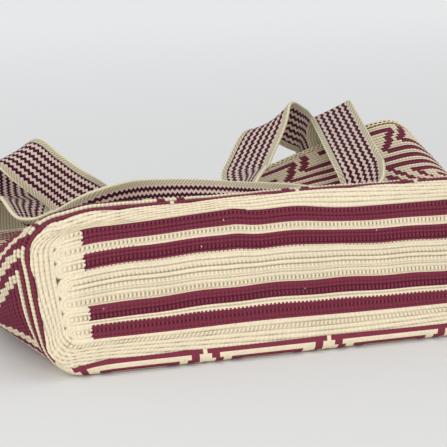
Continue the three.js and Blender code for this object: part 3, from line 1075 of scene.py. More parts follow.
def wall_chart():
    """Stitch chart of the walls: nested stepped triangles and diamonds below a band of hooks."""
    column = np.arange(COLUMNS)[:, None] + 0.5
    column = np.where(column > COLUMNS + UNITS[0][0], column - COLUMNS, column)
    level = np.arange(ROUNDS)[None, :]
    apart = np.zeros((COLUMNS, ROUNDS))
    half = np.full((COLUMNS, ROUNDS), TYPICAL_HALF)
    slope = np.full((COLUMNS, ROUNDS), STEEP)
    for first, last, steepness, lean in UNITS:
        upright = column - lean * level
        inside = (upright >= first) & (upright <= last)
        apart = np.where(inside, np.minimum(upright - first, last - upright), apart)
        half = np.where(inside, (last - first) / 2, half)
        slope = np.where(inside, steepness, slope)
    crowded = CORNER_CROWDING * hump(column, *CROWDED_COLUMNS)
    band = BAND_COLUMNS * half / TYPICAL_HALF * (1 - crowded)
    gap_half = GAP_HALF * (0.5 + 0.5 * np.minimum(level, 1)) * (1 - crowded)
    standing = apart - gap_half - slope * level
    hanging = apart - slope * (LATTICE_TOP - level)
    low = np.minimum(level, np.floor(standing / band))
    high = np.minimum(LATTICE_TOP - 1 - level, np.floor(hanging * HANGING_BANDS))
    between = np.minimum(-standing, -hanging) / BAND_COLUMNS
    standing_maroon = (low == 0) | (low == 2) | (low >= 4)
    hanging_maroon = np.mod(high, 3) == 0
    lattice = np.where(hanging >= 0, hanging_maroon, between >= 1)
    stands = (standing >= 0) & (standing >= hanging)
    chart = np.where(stands, standing_maroon, lattice).astype(float)
    chart[FOOT_GAP, :FOOT_GAP_ROUNDS] = 0
    chart[CORNER_FOOT, 0] = 1
    chart[:, LATTICE_TOP:] = 0
    chart[:, BAND_LINE] = 1
    hook_band(chart)
    return chart


def wander(first, second):
    """Slow wandering of hand-worked rounds, between about -1 and 1."""
    slow = np.sin(0.113 * first + 0.9 * np.sin(0.21 * second))
    slow = slow * np.cos(0.19 * second + 0.047 * first)
    quick = np.sin(0.41 * first + 1.3 * second) * np.cos(0.83 * second - 0.29 * first)
    return 0.7 * slow + 0.3 * quick


def ring_yarns(chart, first, last):
    """Yarn of each face of a wall ring: outside, inside, then along its lower and upper edge."""
    levels = (np.arange((last - first) * FINE) + 0.5) / FINE + first
    columns = (np.arange(COLUMNS * FINE) + 0.5) / FINE
    level, column = np.meshgrid(levels, columns, indexing="ij")
    scallop = WALL_SCALLOP * (np.abs(np.sin(math.pi * column)) - 0.5)
    spread = LINE_SPREAD + BAND_SPREAD * smooth(level, *BAND_SPREAD_LEVELS)
    stitch = np.floor(column).astype(int)
    below = np.clip(np.floor(level - spread + scallop), 0, ROUNDS - 1).astype(int)
    over = np.clip(np.floor(level + spread), 0, ROUNDS - 1).astype(int)
    outer = np.maximum(chart[stitch, below], chart[stitch, over])
    inner = chart[:, first:last].T
    edges = chart[:, [first, min(last, ROUNDS - 1)]].T
    return np.concatenate([outer.ravel(), inner.ravel(), edges.ravel()])


def wall_ring(name, first, last, chart):
    """Closed ring of wall cloth between two levels, finely stitched outside and plainer inside."""
    yarn = bpy.context.scene.tote_yarn
    columns = np.arange(COLUMNS * FINE) / FINE
    levels = np.arange(first * FINE, last * FINE + 1) / FINE
    column, level = np.meshgrid(columns, levels, indexing="ij")
    skin = stitch_point(column, level)
    _, up = outline(column * COLUMN_PITCH, np.zeros_like(column))
    free = smooth(up / BASE_CORNER, *FREE_OF_FLOOR)
    sway = wander(column, level) * yarn.waviness / MM * free
    skin = skin + outward(skin) * sway[..., None]
    inner_column, inner_level = np.meshgrid(columns[::FINE], levels[::FINE], indexing="ij")
    inner = stitch_point(inner_column, inner_level)
    inner = inner - outward(inner) * yarn.cloth / MM
    index = np.arange(column.size).reshape(column.shape)
    inner_index = column.size + np.arange(inner_column.size).reshape(inner_column.shape)
    faces = quads(shut(index.T)).tolist() + quads(shut(inner_index.T), flipped=True).tolist()
    faces += seam_faces(index[:, 0].tolist(), inner_index[:, 0].tolist(), FINE)
    faces += seam_faces(index[:, -1].tolist(), inner_index[:, -1].tolist(), FINE, flipped=True)
    plain = np.zeros(inner_column.size)
    # Painted shade in a band just below the rim, behind the chain's loops
    rim_shade_band = np.abs(level - ROUNDS + RIM_SHADE_DOWN) < RIM_SHADE_HALF
    numbers = {
        "column": np.concatenate([column.ravel(), inner_column.ravel()]),
        "row": np.concatenate([level.ravel(), plain + 0.5]),
        "slots": np.concatenate([np.full(column.size, WALL_SLOTS), plain]),
        "relief": np.concatenate([free.ravel(), plain]),
        "painted_shade": np.concatenate([RIM_SHADE * rim_shade_band.ravel(), plain]),
    }
    points = np.concatenate([skin.reshape(-1, 3), inner.reshape(-1, 3)])
    yarns = ring_yarns(chart, first, last)
    return work_stitches(new_piece(name, points, faces, numbers, {"yarn": yarns}))


def base_rows(x, v):
    """Ridge number, slots and painted pocket shade of the base's rows, turning back at both ends.
    """
    apart = np.abs(v)
    spine = np.where(v < 0, FIRST_LOW_POSTS, FIRST_POSTS) - PERIOD / 2
    lobe = np.floor((apart - spine) / PERIOD)
    in_spine = lobe < 0
    centre = np.where(in_spine, 0, spine + (lobe + 0.5) * PERIOD)
    size = np.where(in_spine, spine, PERIOD / 2)
    beyond = np.maximum(np.abs(x) - (ROWS_TIP - size), 0)
    off = np.hypot(apart - centre, beyond)
    first = np.where(in_spine, SPINE_HALF, POST_ZONE / 2)
    ridge = (size - first) / np.where(in_spine, SPINE_RIDGES, LOBE_RIDGES)
    row = np.where(off < first, 0.5 + 0.5 * off / first, 1 + (off - first) / ridge)
    in_slit = np.abs(off - SPINE_SLIT) < SPINE_SLIT_HALF
    spine_slots = np.where(in_slit, SPINE_SLOTS, PLAIN_SLOTS)
    slots = np.where(in_spine, spine_slots, np.where(off < first, 1.0, PLAIN_SLOTS))
    straight = (beyond < TURN_PLAIN) & (apart < ROWS_HALF - EDGE_PLAIN)
    slots = np.where(straight, slots, PLAIN_SLOTS)
    for low, high in STRIPES:
        in_stripe = (v > low) & (v < high) & (np.abs(x) < STRIPE_REACH)
        slots = np.where(in_stripe, np.maximum(slots, STRIPE_POSTS), slots)
    # Painted shade in the pockets where the rows turn back
    pocket_shade = smooth(off - size, *POCKET) * smooth(np.abs(x), *POCKET_REACH)
    return row, slots, pocket_shade


def row_sway(x, v):
    """How far the base's rows wander up: two swells above, one below and a dip by the left end."""
    upper = np.full(x.shape, -UPPER_SETTLED)
    for place, height, left, right in UPPER_SWELLS:
        upper += height * np.exp(-(((x - place) / np.where(x < place, left, right)) ** 2))
    place, height, reach = LOWER_SWELL
    lower = height * np.exp(-(((x - place) / reach) ** 2))
    lower = lower * (1 - LOWER_FADE * smooth(-v, *LOWER_FADE_DOWN))
    high = smooth(v, -ROWS_BLEND, ROWS_BLEND)
    dip_x, dip_v, reach_x, reach_v = DIP
    dip = DIP_DEPTH * np.exp(-(((x - dip_x) / reach_x) ** 2) - ((v - dip_v) / reach_v) ** 2)
    ripple = sum(height * np.sin(pace * x + start) for height, pace, start in RIPPLES)
    swell = upper * high + lower * (1 - high)
    return swell - dip + ripple * (1 - (v / ROWS_HALF) ** 2)


def round_corners(x, v):
    """Draw the corners of the rows' field in to a round."""
    a = np.clip((np.abs(x) - (ROWS_REACH - ROWS_CORNER)) / ROWS_CORNER, 0, 1)
    b = np.clip((np.abs(v) - (ROWS_HALF - ROWS_CORNER)) / ROWS_CORNER, 0, 1)
    near_x = np.sign(x) * ROWS_CORNER * a * (1 - np.sqrt(1 - b * b / 2))
    near_v = np.sign(v) * ROWS_CORNER * b * (1 - np.sqrt(1 - a * a / 2))
    return x - near_x, v - near_v


def stripe_yarns(x, v):
    """Yarn of the base's rows: maroon stripes with scalloped sides, worn ends and a few specks."""
    worn = v + STRIPE_SCALLOP * (np.abs(np.sin(math.pi * x / POST_PITCH)) - 0.5)
    reach = sum((depth * np.sin(pace * v) for depth, pace in STRIPE_WEAR), STRIPE_REACH)
    choice = np.zeros(x.shape)
    for low, high in STRIPES:
        choice = np.where((worn > low) & (worn < high) & (np.abs(x) < reach), 1.0, choice)
    from_end, from_side = SPECK_INSET
    specks = np.random.default_rng(SPECK_SEED)
    for _ in range(SPECKS):
        low, high = STRIPES[specks.integers(len(STRIPES))]
        spot_x = specks.uniform(from_end - STRIPE_REACH, STRIPE_REACH - from_end)
        spot_v = specks.uniform(low + from_side, high - from_side)
        spot = (np.abs(x - spot_x) < SPECK_HALF[0]) & (np.abs(v - spot_v) < SPECK_HALF[1])
        choice = np.where(spot, 0.0, choice)
    return choice


def border_places(wide, tall):
    """Walk along the base's outer edge for each point round its rows, from corner to corner."""
    half = CORNER_ARC / 2
    right = LONG_SIDE + half
    top = right + SHORT_SIDE + CORNER_ARC
    left = top + LONG_SIDE + CORNER_ARC
    turns = (-half, right, top, left, PERIMETER - half)
    sides = zip(turns[:-1], turns[1:], (wide, tall, wide, tall))
    return np.concatenate([np.linspace(first, last, n, endpoint=False) for first, last, n in sides])


def border_rounds(in_x, in_v, level_v, side, walk):
    """Points of the base's border, ring after ring, and the number of the round each lies on."""
    start = edge_run(walk)
    edge_across, edge_up = outline(walk, EDGE_RADIUS - np.minimum(start, 0))
    straight_top = (side == 2) * (1 - smooth(np.abs(in_x), *TOP_STRAIGHT))
    past = straight_top * np.maximum(in_v - edge_up, 0)
    flat_width = np.hypot(edge_across - in_x, edge_up - in_v)
    flat_width += straight_top * (np.maximum(edge_up - in_v, LEAST_FLAT) - flat_width)
    share = np.arange(1, BORDER_RINGS + 1)[:, None] / BORDER_RINGS
    reach = share * (flat_width + np.maximum(start - past, 0))
    t = np.clip(reach / flat_width, 0, 1)
    plane = base_point(in_x + (edge_across - in_x) * t, in_v + (edge_up - in_v) * t)
    rolled = skin_point(walk, past + np.maximum(reach - flat_width, 0))
    points = np.where((reach > flat_width)[..., None], rolled, plane)
    even_width = np.hypot(edge_across - in_x, edge_up - level_v) + np.maximum(start, 0)
    return points, share * even_width / BORDER_PITCH


def base_panel():
    """The base: straight rows with four stripes inside concentric border rounds."""
    yarn = bpy.context.scene.tote_yarn
    wide = COARSE * round(2 * ROWS_REACH / POST_PITCH)
    tall = COARSE * round(2 * ROWS_HALF / ROW_SIDE / COARSE)
    across = np.linspace(-ROWS_REACH, ROWS_REACH, wide + 1)
    upwards = np.linspace(-ROWS_HALF, ROWS_HALF, tall + 1)
    even_x, even_v = np.meshgrid(across, upwards, indexing="ij")
    x, level_v = round_corners(even_x, even_v)
    v = level_v + row_sway(even_x, even_v)
    middle = base_point(x, v + BASE_MIDDLE).reshape(-1, 3)
    index = np.arange(x.size).reshape(x.shape)
    side = np.repeat(np.arange(4), (wide, tall, wide, tall))
    walk = np.mod(border_places(wide, tall), PERIMETER)
    in_x = edge_of(x)
    in_v = edge_of(v) + BASE_MIDDLE
    border, border_row = border_rounds(in_x, in_v, edge_of(level_v) + BASE_MIDDLE, side, walk)
    border_index = x.size + np.arange(border_row.size).reshape(border_row.shape)
    rings = np.concatenate([edge_of(index)[None], border_index])
    out = np.array([0, -math.cos(BASE_LEAN), math.sin(BASE_LEAN)]) * yarn.cloth / MM
    back_x = even_x[::COARSE, ::COARSE]
    back = base_point(back_x, even_v[::COARSE, ::COARSE] + BASE_MIDDLE).reshape(-1, 3) - out
    edge_walk = walk[::COARSE]
    edge_out = outward_edge(edge_walk, edge_run(edge_walk)) * yarn.cloth / MM
    edge = border[-1, ::COARSE] - edge_out
    points = np.concatenate([middle, border.reshape(-1, 3), back, edge])
    back_index = x.size + border_row.size + np.arange(back_x.size).reshape(back_x.shape)
    edge_index = back_index.max() + 1 + np.arange(len(edge))
    back_rings = np.stack([edge_of(back_index), edge_index])
    faces = quads(index).tolist() + quads(shut(rings)).tolist()
    faces += quads(back_index, flipped=True).tolist()
    faces += quads(shut(back_rings), flipped=True).tolist()
    faces += seam_faces(rings[-1].tolist(), edge_index.tolist(), COARSE, flipped=True)
    row, slots, pocket_shade = base_rows(even_x, even_v)
    posts = (np.abs(border_row - BORDER_POSTS_ROW) < 0.5) & (side == 0)
    border_column = np.where(side % 2 == 0, in_x, in_v) / POST_PITCH
    relief = 1 - ROWS_FADE_LESS * smooth(np.abs(even_x), *ROWS_FADE)
    flat = np.zeros(len(back) + len(edge))
    numbers = {
        "column": (even_x / POST_PITCH, np.tile(border_column, BORDER_RINGS), flat),
        "row": (row, border_row + BORDER_FIRST_ROW, flat + 0.5),
        "slots": (slots, BORDER_SLOTS + BORDER_POSTS * posts, flat),
        "painted_shade": (pocket_shade, np.zeros(border_row.size), flat),
        "relief": (relief, np.ones(border_row.size), flat),
    }
    for name, parts in numbers.items():
        numbers[name] = np.concatenate([np.ravel(part) for part in parts])
    mid_x = (even_x[:-1, :-1] + even_x[1:, 1:]) / 2
    mid_v = (even_v[:-1, :-1] + even_v[1:, 1:]) / 2
    choice = stripe_yarns(mid_x, mid_v)
    back_choice = choice[::COARSE, ::COARSE].ravel()
    border_choice = np.zeros(border_row.size)
    edge_choice = np.zeros(2 * len(edge))
    yarns = np.concatenate([choice.ravel(), border_choice, back_choice, edge_choice])
    piece = new_piece("base_panel", points, faces, numbers, {"yarn": yarns})
    return work_stitches(piece)


def outward_edge(walk, start):
    """Outward normals of the base along the edge of its border."""
    along = skin_point(walk + EDGE_PROBE, start) - skin_point(walk - EDGE_PROBE, start)
    onward = skin_point(walk, start + EDGE_PROBE) - skin_point(walk, start - EDGE_PROBE)
    normals = np.cross(onward, along)
    return normals / np.linalg.norm(normals, axis=-1, keepdims=True)


def under_panel(across, inwards):
    """Strap middle on the inside of the upper wall, and the way along the rim."""
    def wall(x, inset):
        """Point of the upper wall at a place across, inset from the rim."""
        share = 1 - inset / (BAG_DEPTH - EDGE_RADIUS)
        return wall_point(np.array(float(x)), np.array(BASE_HEIGHT), np.array(share))

    skin = wall(across, inwards)
    along = wall(across + PROBE, inwards) - wall(across - PROBE, inwards)
    along = along / np.linalg.norm(along)
    up = np.cross(along, skin - wall(across, inwards + PROBE))
    up = up / np.linalg.norm(up)
    return skin - up * (WALL + ROOT_CLEARANCE + STRAP_THICKNESS / 2), along


def panel_below(x, y):
    """Height of the upper wall below a place seen from above."""
    place = np.array(float(x))
    high = np.array(BASE_HEIGHT)
    start = float(wall_point(place, high, np.array(0.0))[1])
    share = np.array(min(max((y - start) / (UPPER_RIM - start), 0), 1))
    shift = float(wall_point(place, high, share)[0]) - x
    return float(panel_height(np.array(x - shift), share)) + RIDGE_HEIGHT


def above(x, share, clearance, across):
    """Station over the upper wall, clear of it by the strap's lower edge."""
    y = LAY_SETBACK + (UPPER_RIM - LAY_SETBACK) * share
    across = np.array(across, float) / np.linalg.norm(across)
    height = panel_below(x, y) + clearance + STRAP_WIDTH / 2 * abs(across[2])
    return np.array([x, y, height]), across


def behind(x, reach, height, across):
    """Station behind the mouth."""
    return np.array([x, BAG_DEPTH + reach, height]), np.array(across, float)


def upper_root(across, tab_rise):
    """Stations of the upper handle's end, sewn under the wall and out over the rim."""
    rim, along = under_panel(across, 0)
    along = along * np.sign(across)
    return [
        (under_panel(across, ROOT_LAP)[0], along),
        (under_panel(across, ROOT_LAP / 2)[0], along),
        (rim, along),
        (rim + [0, TAB_SETBACK, tab_rise * TAB_KNEE], along),
        (rim + [0, TAB_SETBACK * TAB_TIP, tab_rise], along),
    ]


def lower_root(across):
    """Stations of the lower handle's end, sewn to the wall on the floor and out of the mouth."""
    way = np.array([np.sign(across), 0, 0], float)
    height = WALL + ROOT_CLEARANCE + STRAP_THICKNESS / 2
    return [
        (np.array([across, BAG_DEPTH - ROOT_LAP, height]), way),
        (np.array([across, BAG_DEPTH, height]), way),
        behind(across, LOOP_REACH * 0.6, LOOP_HEIGHT * 0.1, way),
    ]


def upper_handle_stations():
    """Route of the upper handle from its right root to its left one."""
    root = HANDLE_SPACING / 2
    wide = STRAP_WIDTH
    return [
        *upper_root(root, RIGHT_TAB_RISE),
        above(root * 1.014, 1, RIGHT_TAB_RISE * 0.84, (1, 0, 0.4)),
        above(root * 0.957, 0.88, wide * 0.63, (1, 0, 0.38)),
        above(root * 0.748, 0.404, wide * 0.84, (0.92, 0.16, 0.36)),
        above(root * 0.715, 0.294, wide * 0.57, (0.7, 0.37, 0.61)),
        above(root * 0.599, 0.105, wide * 0.1, (0.52, -0.07, 0.85)),
        above(root * 0.377, 0.046, wide * 0.055, (0.7, -0.11, 0.7)),
        above(root * -0.193, -0.055, wide * 0.055, (0.07, 0.6, 0.79)),
        above(root * -0.304, -0.065, wide * 0.065, (0.04, 0.64, 0.77)),
        above(root * -0.636, -0.025, wide * 0.055, (0.02, 0.44, 0.9)),
        above(root * -0.961, -0.017, wide * 0.055, (-0.33, -0.16, 0.93)),
        above(root * -1.14, 0.083, wide * 0.055, (-0.72, 0.48, 0.51)),
        above(root * -1.241, 0.155, wide * 0.055, (-0.67, -0.14, 0.73)),
        above(root * -1.246, 0.272, wide * 0.51, (-0.87, 0, 0.49)),
        above(root * -1.145, 0.494, wide * 0.665, (-0.99, 0, 0.16)),
        above(root * -1.1, 0.686, wide * 0.79, (-1, 0, 0)),
        above(root * -1.079, 0.752, wide * 0.97, (-1, 0, 0)),
        above(root * -1.065, 0.8, wide * 1.32, (-1, 0, 0)),
        above(root * -1.043, 0.867, LEFT_TAB_RISE * 2.08, (-1, 0, 0)),
        above(root * -1.014, 0.971, LEFT_TAB_RISE * 1.77, (-1, 0, 0)),
        *reversed(upper_root(-root, LEFT_TAB_RISE)),
    ]


def lower_handle_stations():
    """Route of the lower handle from its right root to its left one."""
    root = HANDLE_SPACING / 2
    wide = STRAP_WIDTH
    beside = root * 1.065 + STRAP_WIDTH + STRAP_GAP
    return [
        *lower_root(root),
        behind(root * 1.058, LOOP_REACH * 1.04, LOOP_HEIGHT * 0.35, (1, 0, 0.2)),
        behind(root * 1.05, LOOP_REACH * 1.02, LOOP_HEIGHT * 0.58, (0.8, 0.3, 0.6)),
        behind(root * 0.964, LOOP_REACH * 0.92, LOOP_HEIGHT * 0.77, (0.35, 0.2, 0.9)),
        behind(root * 0.842, LOOP_REACH * 0.54, LOOP_HEIGHT * 0.85, (0.3, 0, 0.95)),
        above(root * 0.576, 0.914, wide * 0.88, (0.85, 0, 0.5)),
        above(root * 0.246, 0.655, wide * 0.754, (0.59, -0.8, 0.07)),
        above(root * -0.034, 0.254, wide * 0.513, (0.53, -0.62, 0.58)),
        above(root * -0.23, 0.176, wide * 0.26, (0.3, -1, 0)),
        above(root * -0.47, 0.157, wide * 0.16, (0, -1, 0)),
        above(root * -0.72, 0.176, wide * 0.16, (-0.3, -0.8, -0.3)),
        above(root * -0.964, 0.238, wide * 0.37, (-0.4, -0.2, -0.8)),
        above(root * -1.065, 0.381, wide * 0.79, (-0.42, 0.15, -0.85)),
        above(root * -1.18, 0.51, wide * 1.47, (-0.91, 0, -0.42)),
        above(root * -1.288, 0.648, wide * 1.29, (-0.9, -0.35, -0.3)),
        above(-beside, 0.81, wide * 1.21, (-1, -0.1, -0.1)),
        behind(-beside, LOOP_REACH * 0.2, LOOP_HEIGHT * 0.68, (-1, 0, 0)),
        behind(root * -1.28, LOOP_REACH * 0.76, LOOP_HEIGHT * 0.5, (-0.95, 0.2, 0)),
        behind(root * -1.137, LOOP_REACH * 0.92, LOOP_HEIGHT * 0.28, (-1, 0.1, 0)),
        *reversed(lower_root(-root)),
    ]


def centripetal(points, t):
    """Points of a centripetal curve through given points, at shares t of its stations."""
    points = np.asarray(points, float)
    points = np.concatenate([[2 * points[0] - points[1]], points, [2 * points[-1] - points[-2]]])
    last = len(points) - 3
    place = np.asarray(t, float) * last
    k = np.minimum(np.floor(place).astype(int), last - 1)
    weight = (place - k)[:, None]
    p0, p1, p2, p3 = (points[k + i] for i in range(4))

    def span(first, second, least):
        """Knot span between two stations, or another where they coincide."""
        length = np.sqrt(np.linalg.norm(second - first, axis=1))[:, None]
        return np.where(length < SAME_PLACE, least, length)

    d1 = span(p1, p2, 1.0)
    d0 = span(p0, p1, d1)
    d2 = span(p2, p3, d1)
    first = ((p1 - p0) / d0 - (p2 - p0) / (d0 + d1) + (p2 - p1) / d1) * d1
    second = ((p2 - p1) / d1 - (p3 - p1) / (d1 + d2) + (p3 - p2) / d2) * d1
    square = -3 * p1 + 3 * p2 - 2 * first - second
    cubic = 2 * p1 - 2 * p2 + first + second
    return p1 + weight * (first + weight * (square + weight * cubic))


def strap_frames(stations):
    """Evenly spaced middles, ways across and faces along a strap, and their distance along it."""
    middles = [place for place, _ in stations]
    ways = [way / np.linalg.norm(way) for _, way in stations]
    dense = np.linspace(0, 1, DENSE_STEPS + 1)
    steps = np.linalg.norm(np.diff(centripetal(middles, dense), axis=0), axis=1)
    walked = np.concatenate([[0], np.cumsum(steps)])
    even_walk = np.linspace(0, walked[-1], int(round(walked[-1] / STRAP_STEP)) + 1)
    even = np.interp(even_walk, walked, dense)
    middle = centripetal(middles, even)
    tangent = np.gradient(middle, axis=0)
    tangent = tangent / np.linalg.norm(tangent, axis=1, keepdims=True)
    across = centripetal(ways, even)
    across = across - tangent * (across * tangent).sum(1, keepdims=True)
    across = across / np.linalg.norm(across, axis=1, keepdims=True)
    return middle, across, np.cross(tangent, across), even_walk


def strap_section():
    """Section of a strap, a flat ribbon with corded borders: places across and heights."""
    half = STRAP_WIDTH / 2
    places = np.linspace(STRAP_INSET - half, half - STRAP_INSET, STRAP_PLACES)
    cord = CORD_HEIGHT * np.exp(-((np.abs(places) - CORD_PLACE) / CORD_WIDTH) ** 2)
    upper = [(w, STRAP_THICKNESS / 2 - CORD_HEIGHT + c) for w, c in zip(places, cord)]
    lower = [(w, -h) for w, h in reversed(upper)]
    shoulder = half - SELVEDGE_IN
    right = [(shoulder, SELVEDGE_HALF), (half, 0.0), (shoulder, -SELVEDGE_HALF)]
    left = [(-w, -h) for w, h in right]
    return np.array(upper + right + lower + left)


def strap_handle(name, stations, legs):
    """Woven strap along its stations, its zigzag drawn out along its legs, and its length."""
    strap = bpy.context.scene.tote_straps
    middle, across, face, walked = strap_frames(stations)
    section = strap_section()
    sideways = section[None, :, :1] * across[:, None]
    rings = middle[:, None] + sideways + section[None, :, 1:] * face[:, None]
    count = len(section)
    index = np.arange(len(middle) * count).reshape(-1, count)
    faces = quads(shut(index), flipped=True).tolist()
    faces += [index[0, ::-1].tolist(), index[-1].tolist()]
    from_end = np.minimum(walked, walked[-1] - walked)
    plain = (from_end < strap.plain_end / MM).astype(float)
    numbers = {"plain": np.repeat(plain, count)}
    piece = new_piece(name, rings.reshape(-1, 3), faces, numbers, {})
    weave = piece.data.uv_layers.new(name="weave")
    corner = np.zeros(len(piece.data.loops), np.int32)
    piece.data.loops.foreach_get("vertex_index", corner)
    outer, inner = LEG_EASE
    pace = np.ones_like(walked)
    for first, last, slowest in legs:
        on_leg = hump(walked, (first - outer, first + inner), (last - inner, last + outer))
        pace -= (1 - slowest) * on_leg
    woven = np.cumsum(pace) * walked[1]
    layout = np.stack([woven[corner // count], section[corner % count, 0]], 1) * MM
    weave.data.foreach_set("uv", layout.astype(np.float32).ravel())
    piece.data.materials.append(strap_material())
    return piece, walked[-1] * MM


def new_path(name, points, outwards):
    """Closed line of edges through points in millimetres, which knows the way out of the cloth."""
    count = len(points)
    edges = [(k, (k + 1) % count) for k in range(count)]
    mesh = bpy.data.meshes.new(name)
    mesh.from_pydata(to_part(points).tolist(), edges, [])
    ways = mesh.attributes.new("outward", "FLOAT_VECTOR", "POINT")
    ways.data.foreach_set("vector", np.asarray(outwards, np.float32).ravel())
    path = bpy.data.objects.new(name, mesh)
    bpy.context.scene.collection.objects.link(path)
    return path


def rim_chain():
    """The row of chain stitches along the rim."""
    column = np.linspace(0, COLUMNS, 2 * COLUMNS, endpoint=False)
    levels = ROUNDS - np.array(CHAIN_DOWN)
    skin = stitch_point(*np.meshgrid(column, levels, indexing="ij"))
    out = outward(skin)[:, 0]
    path = skin[:, 0] + out * CHAIN_OUT
    path[:, 2] = np.maximum(path[:, 2], CHAIN_LEAST_HEIGHT)
    pitch = bpy.context.scene.tote_yarn.chain_pitch
    values = {"Pitch": pitch, "Material": crochet_material()}
    return run_tree(new_path("rim_chain", path, out), row_of_stitches_tree(), values)


def looking(place, ahead):
    """Placement of a camera or lamp at a place, looking ahead."""
    return Matrix.Translation(place) @ ahead.to_track_quat("-Z", "Y").to_matrix().to_4x4()


def floor_material(stage):
    """Pale floor that fades to the backdrop far behind, and still takes shadows."""
    material = bpy.data.materials.new("pale_floor")
    material.use_nodes = True
    build = Tree(material.node_tree)
    surface = material.node_tree.nodes["Principled BSDF"]
    surface.inputs["Base Color"].default_value = (*stage.floor, 1)
    surface.inputs["Roughness"].default_value = FLOOR_ROUGHNESS
    glow = build.node("ShaderNodeEmission", {"Color": (*stage.backdrop, 1)})
    rays = build.node("ShaderNodeLightPath").outputs
    mirrored = build.math("MAXIMUM", rays["Is Glossy Ray"], rays["Is Transmission Ray"])
    seen = build.math("MAXIMUM", rays["Is Camera Ray"], mirrored)
    place = build.node("ShaderNodeTexCoord").outputs["Object"]
    depth = build.node("ShaderNodeSeparateXYZ", {0: place}).outputs["Y"]
    feeds = {"Value": depth, **FADE}
    far = build.node("ShaderNodeMapRange", feeds, interpolation_type="SMOOTHSTEP")
    share = build.math("MULTIPLY", seen, far.outputs["Result"])
    feeds = {0: share, 1: surface.outputs["BSDF"], 2: glow.outputs["Emission"]}
    blend = build.node("ShaderNodeMixShader", feeds)
    leave = material.node_tree.nodes["Material Output"]
    build.feed(leave.inputs["Surface"], blend.outputs["Shader"])
    return material


class TOTE_OT_stage(bpy.types.Operator):
    """Set the camera, the pale floor and the soft studio light."""

    bl_idname = "tote.stage"
    bl_label = "Stage"

    def execute(self, context):
        scene = context.scene
        stage = scene.tote_stage
        camera = bpy.data.objects.new("camera", bpy.data.cameras.new("camera"))
        scene.collection.objects.link(camera)
        camera.data.sensor_width = SENSOR
        camera.data.lens = SENSOR * stage.focal_pixels / stage.picture
        camera.data.clip_start, camera.data.clip_end = CLIP
        level = math.cos(stage.elevation)
        across = math.sin(stage.azimuth) * level
        ahead = Vector((across, math.cos(stage.azimuth) * level, -math.sin(stage.elevation)))
        camera.matrix_world = looking(stage.camera_place, ahead)
        scene.camera = camera
        mesh = bpy.data.meshes.new("floor")
        ways = ((-1, -1), (1, -1), (1, 1), (-1, 1))
        mesh.from_pydata([(x * FLOOR_HALF, y * FLOOR_HALF, 0) for x, y in ways], [], [(0, 1, 2, 3)])
        mesh.materials.append(floor_material(stage))
        floor = bpy.data.objects.new("floor", mesh)
        floor.location.z = -FLOOR_DROP
        scene.collection.objects.link(floor)
        world = bpy.data.worlds.new("studio")
        world.use_nodes = True
        sky = world.node_tree.nodes["Background"].inputs
        sky["Color"].default_value = SKY
        sky["Strength"].default_value = SKY_STRENGTH
        scene.world = world
        for name, place, size, power, colour in SOFTBOXES:
            lamp = bpy.data.lights.new(name, "AREA")
            lamp.shape = "SQUARE"
            lamp.size = size
            lamp.energy = power
            lamp.color = colour
            light = bpy.data.objects.new(name, lamp)
            light.matrix_world = looking(place, Vector(LIGHT_AIM) - Vector(place))
            scene.collection.objects.link(light)
        scene.view_settings.view_transform = "Standard"
        return {"FINISHED"}


class TOTE_OT_base(bpy.types.Operator):
    """Work the striped base panel."""

    bl_idname = "tote.base"
    bl_label = "Base Panel"

    def execute(self, context):
        piece = base_panel()
        finish_piece(piece)
        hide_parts("bag_body")
        return {"FINISHED"}


class TOTE_OT_walls(bpy.types.Operator):
    """Work the patterned walls in three rings, from the base to the rim."""

    bl_idname = "tote.walls"
    bl_label = "Walls"

    def execute(self, context):
        chart = wall_chart()
        for name, first, last in RINGS:
            piece = wall_ring(name, first, last, chart)
            finish_piece(piece)
            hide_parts("bag_body")
        return {"FINISHED"}


class TOTE_OT_rim(bpy.types.Operator):
    """Work the row of chain stitches along the rim."""

    bl_idname = "tote.rim"
    bl_label = "Rim Chain"

    def execute(self, context):
        piece = rim_chain()
        finish_piece(piece)
        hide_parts("bag_body")
        return {"FINISHED"}


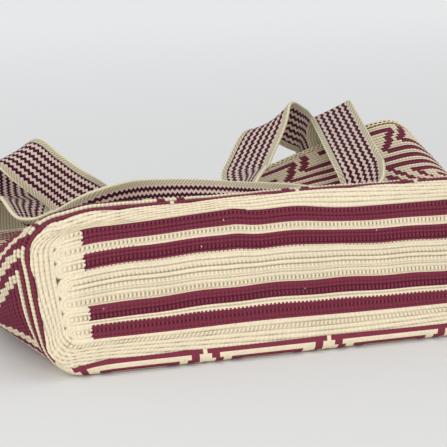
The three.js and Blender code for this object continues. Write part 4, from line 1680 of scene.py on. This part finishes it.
class TOTE_OT_handles(bpy.types.Operator):
    """Weave both strap handles along their routes."""

    bl_idname = "tote.handles"
    bl_label = "Handles"

    def execute(self, context):
        for name, stations, legs in (
            ("upper_handle", upper_handle_stations(), UPPER_LEGS),
            ("lower_handle", lower_handle_stations(), LOWER_LEGS),
        ):
            piece, length = strap_handle(name + "_strap", stations, legs)
            finish_piece(piece)
            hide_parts(name)
        return {"FINISHED"}


class TOTE_PT_sidebar(bpy.types.Panel):
    """Sidebar with the bag's sizes, colours and pieces."""

    bl_idname = "TOTE_PT_sidebar"
    bl_label = "Tote Bag"
    bl_space_type = "VIEW_3D"
    bl_region_type = "UI"
    bl_category = "Tote Bag"

    def draw(self, context):
        layout = self.layout
        for group in (context.scene.tote_yarn, context.scene.tote_straps, context.scene.tote_stage):
            box = layout.box()
            for name in group.bl_rna.properties.keys():
                if name not in ("rna_type", "name"):
                    box.prop(group, name)
        for operator in OPERATORS:
            layout.operator(operator.bl_idname)


GROUPS = (ToteYarn, ToteStraps, ToteStage)
OPERATORS = (TOTE_OT_stage, TOTE_OT_base, TOTE_OT_walls, TOTE_OT_rim, TOTE_OT_handles)


def register():
    """Register the classes and hang their settings on the scene."""
    for kind in (*GROUPS, *OPERATORS, TOTE_PT_sidebar):
        bpy.utils.register_class(kind)
    bpy.types.Scene.tote_yarn = PointerProperty(type=ToteYarn)
    bpy.types.Scene.tote_straps = PointerProperty(type=ToteStraps)
    bpy.types.Scene.tote_stage = PointerProperty(type=ToteStage)


def unregister():
    """Take the settings and classes away again."""
    del bpy.types.Scene.tote_stage
    del bpy.types.Scene.tote_straps
    del bpy.types.Scene.tote_yarn
    for kind in reversed((*GROUPS, *OPERATORS, TOTE_PT_sidebar)):
        bpy.utils.unregister_class(kind)


def corners(box):
    """A box's two corners as plain lists."""
    return [[float(v) for v in corner] for corner in box]


def main():
    """Build the whole bag."""
    register()
    bpy.ops.tote.stage()
    bpy.ops.tote.base()
    bpy.ops.tote.walls()
    bpy.ops.tote.rim()
    bpy.ops.tote.handles()


if __name__ == "__main__":
    main()
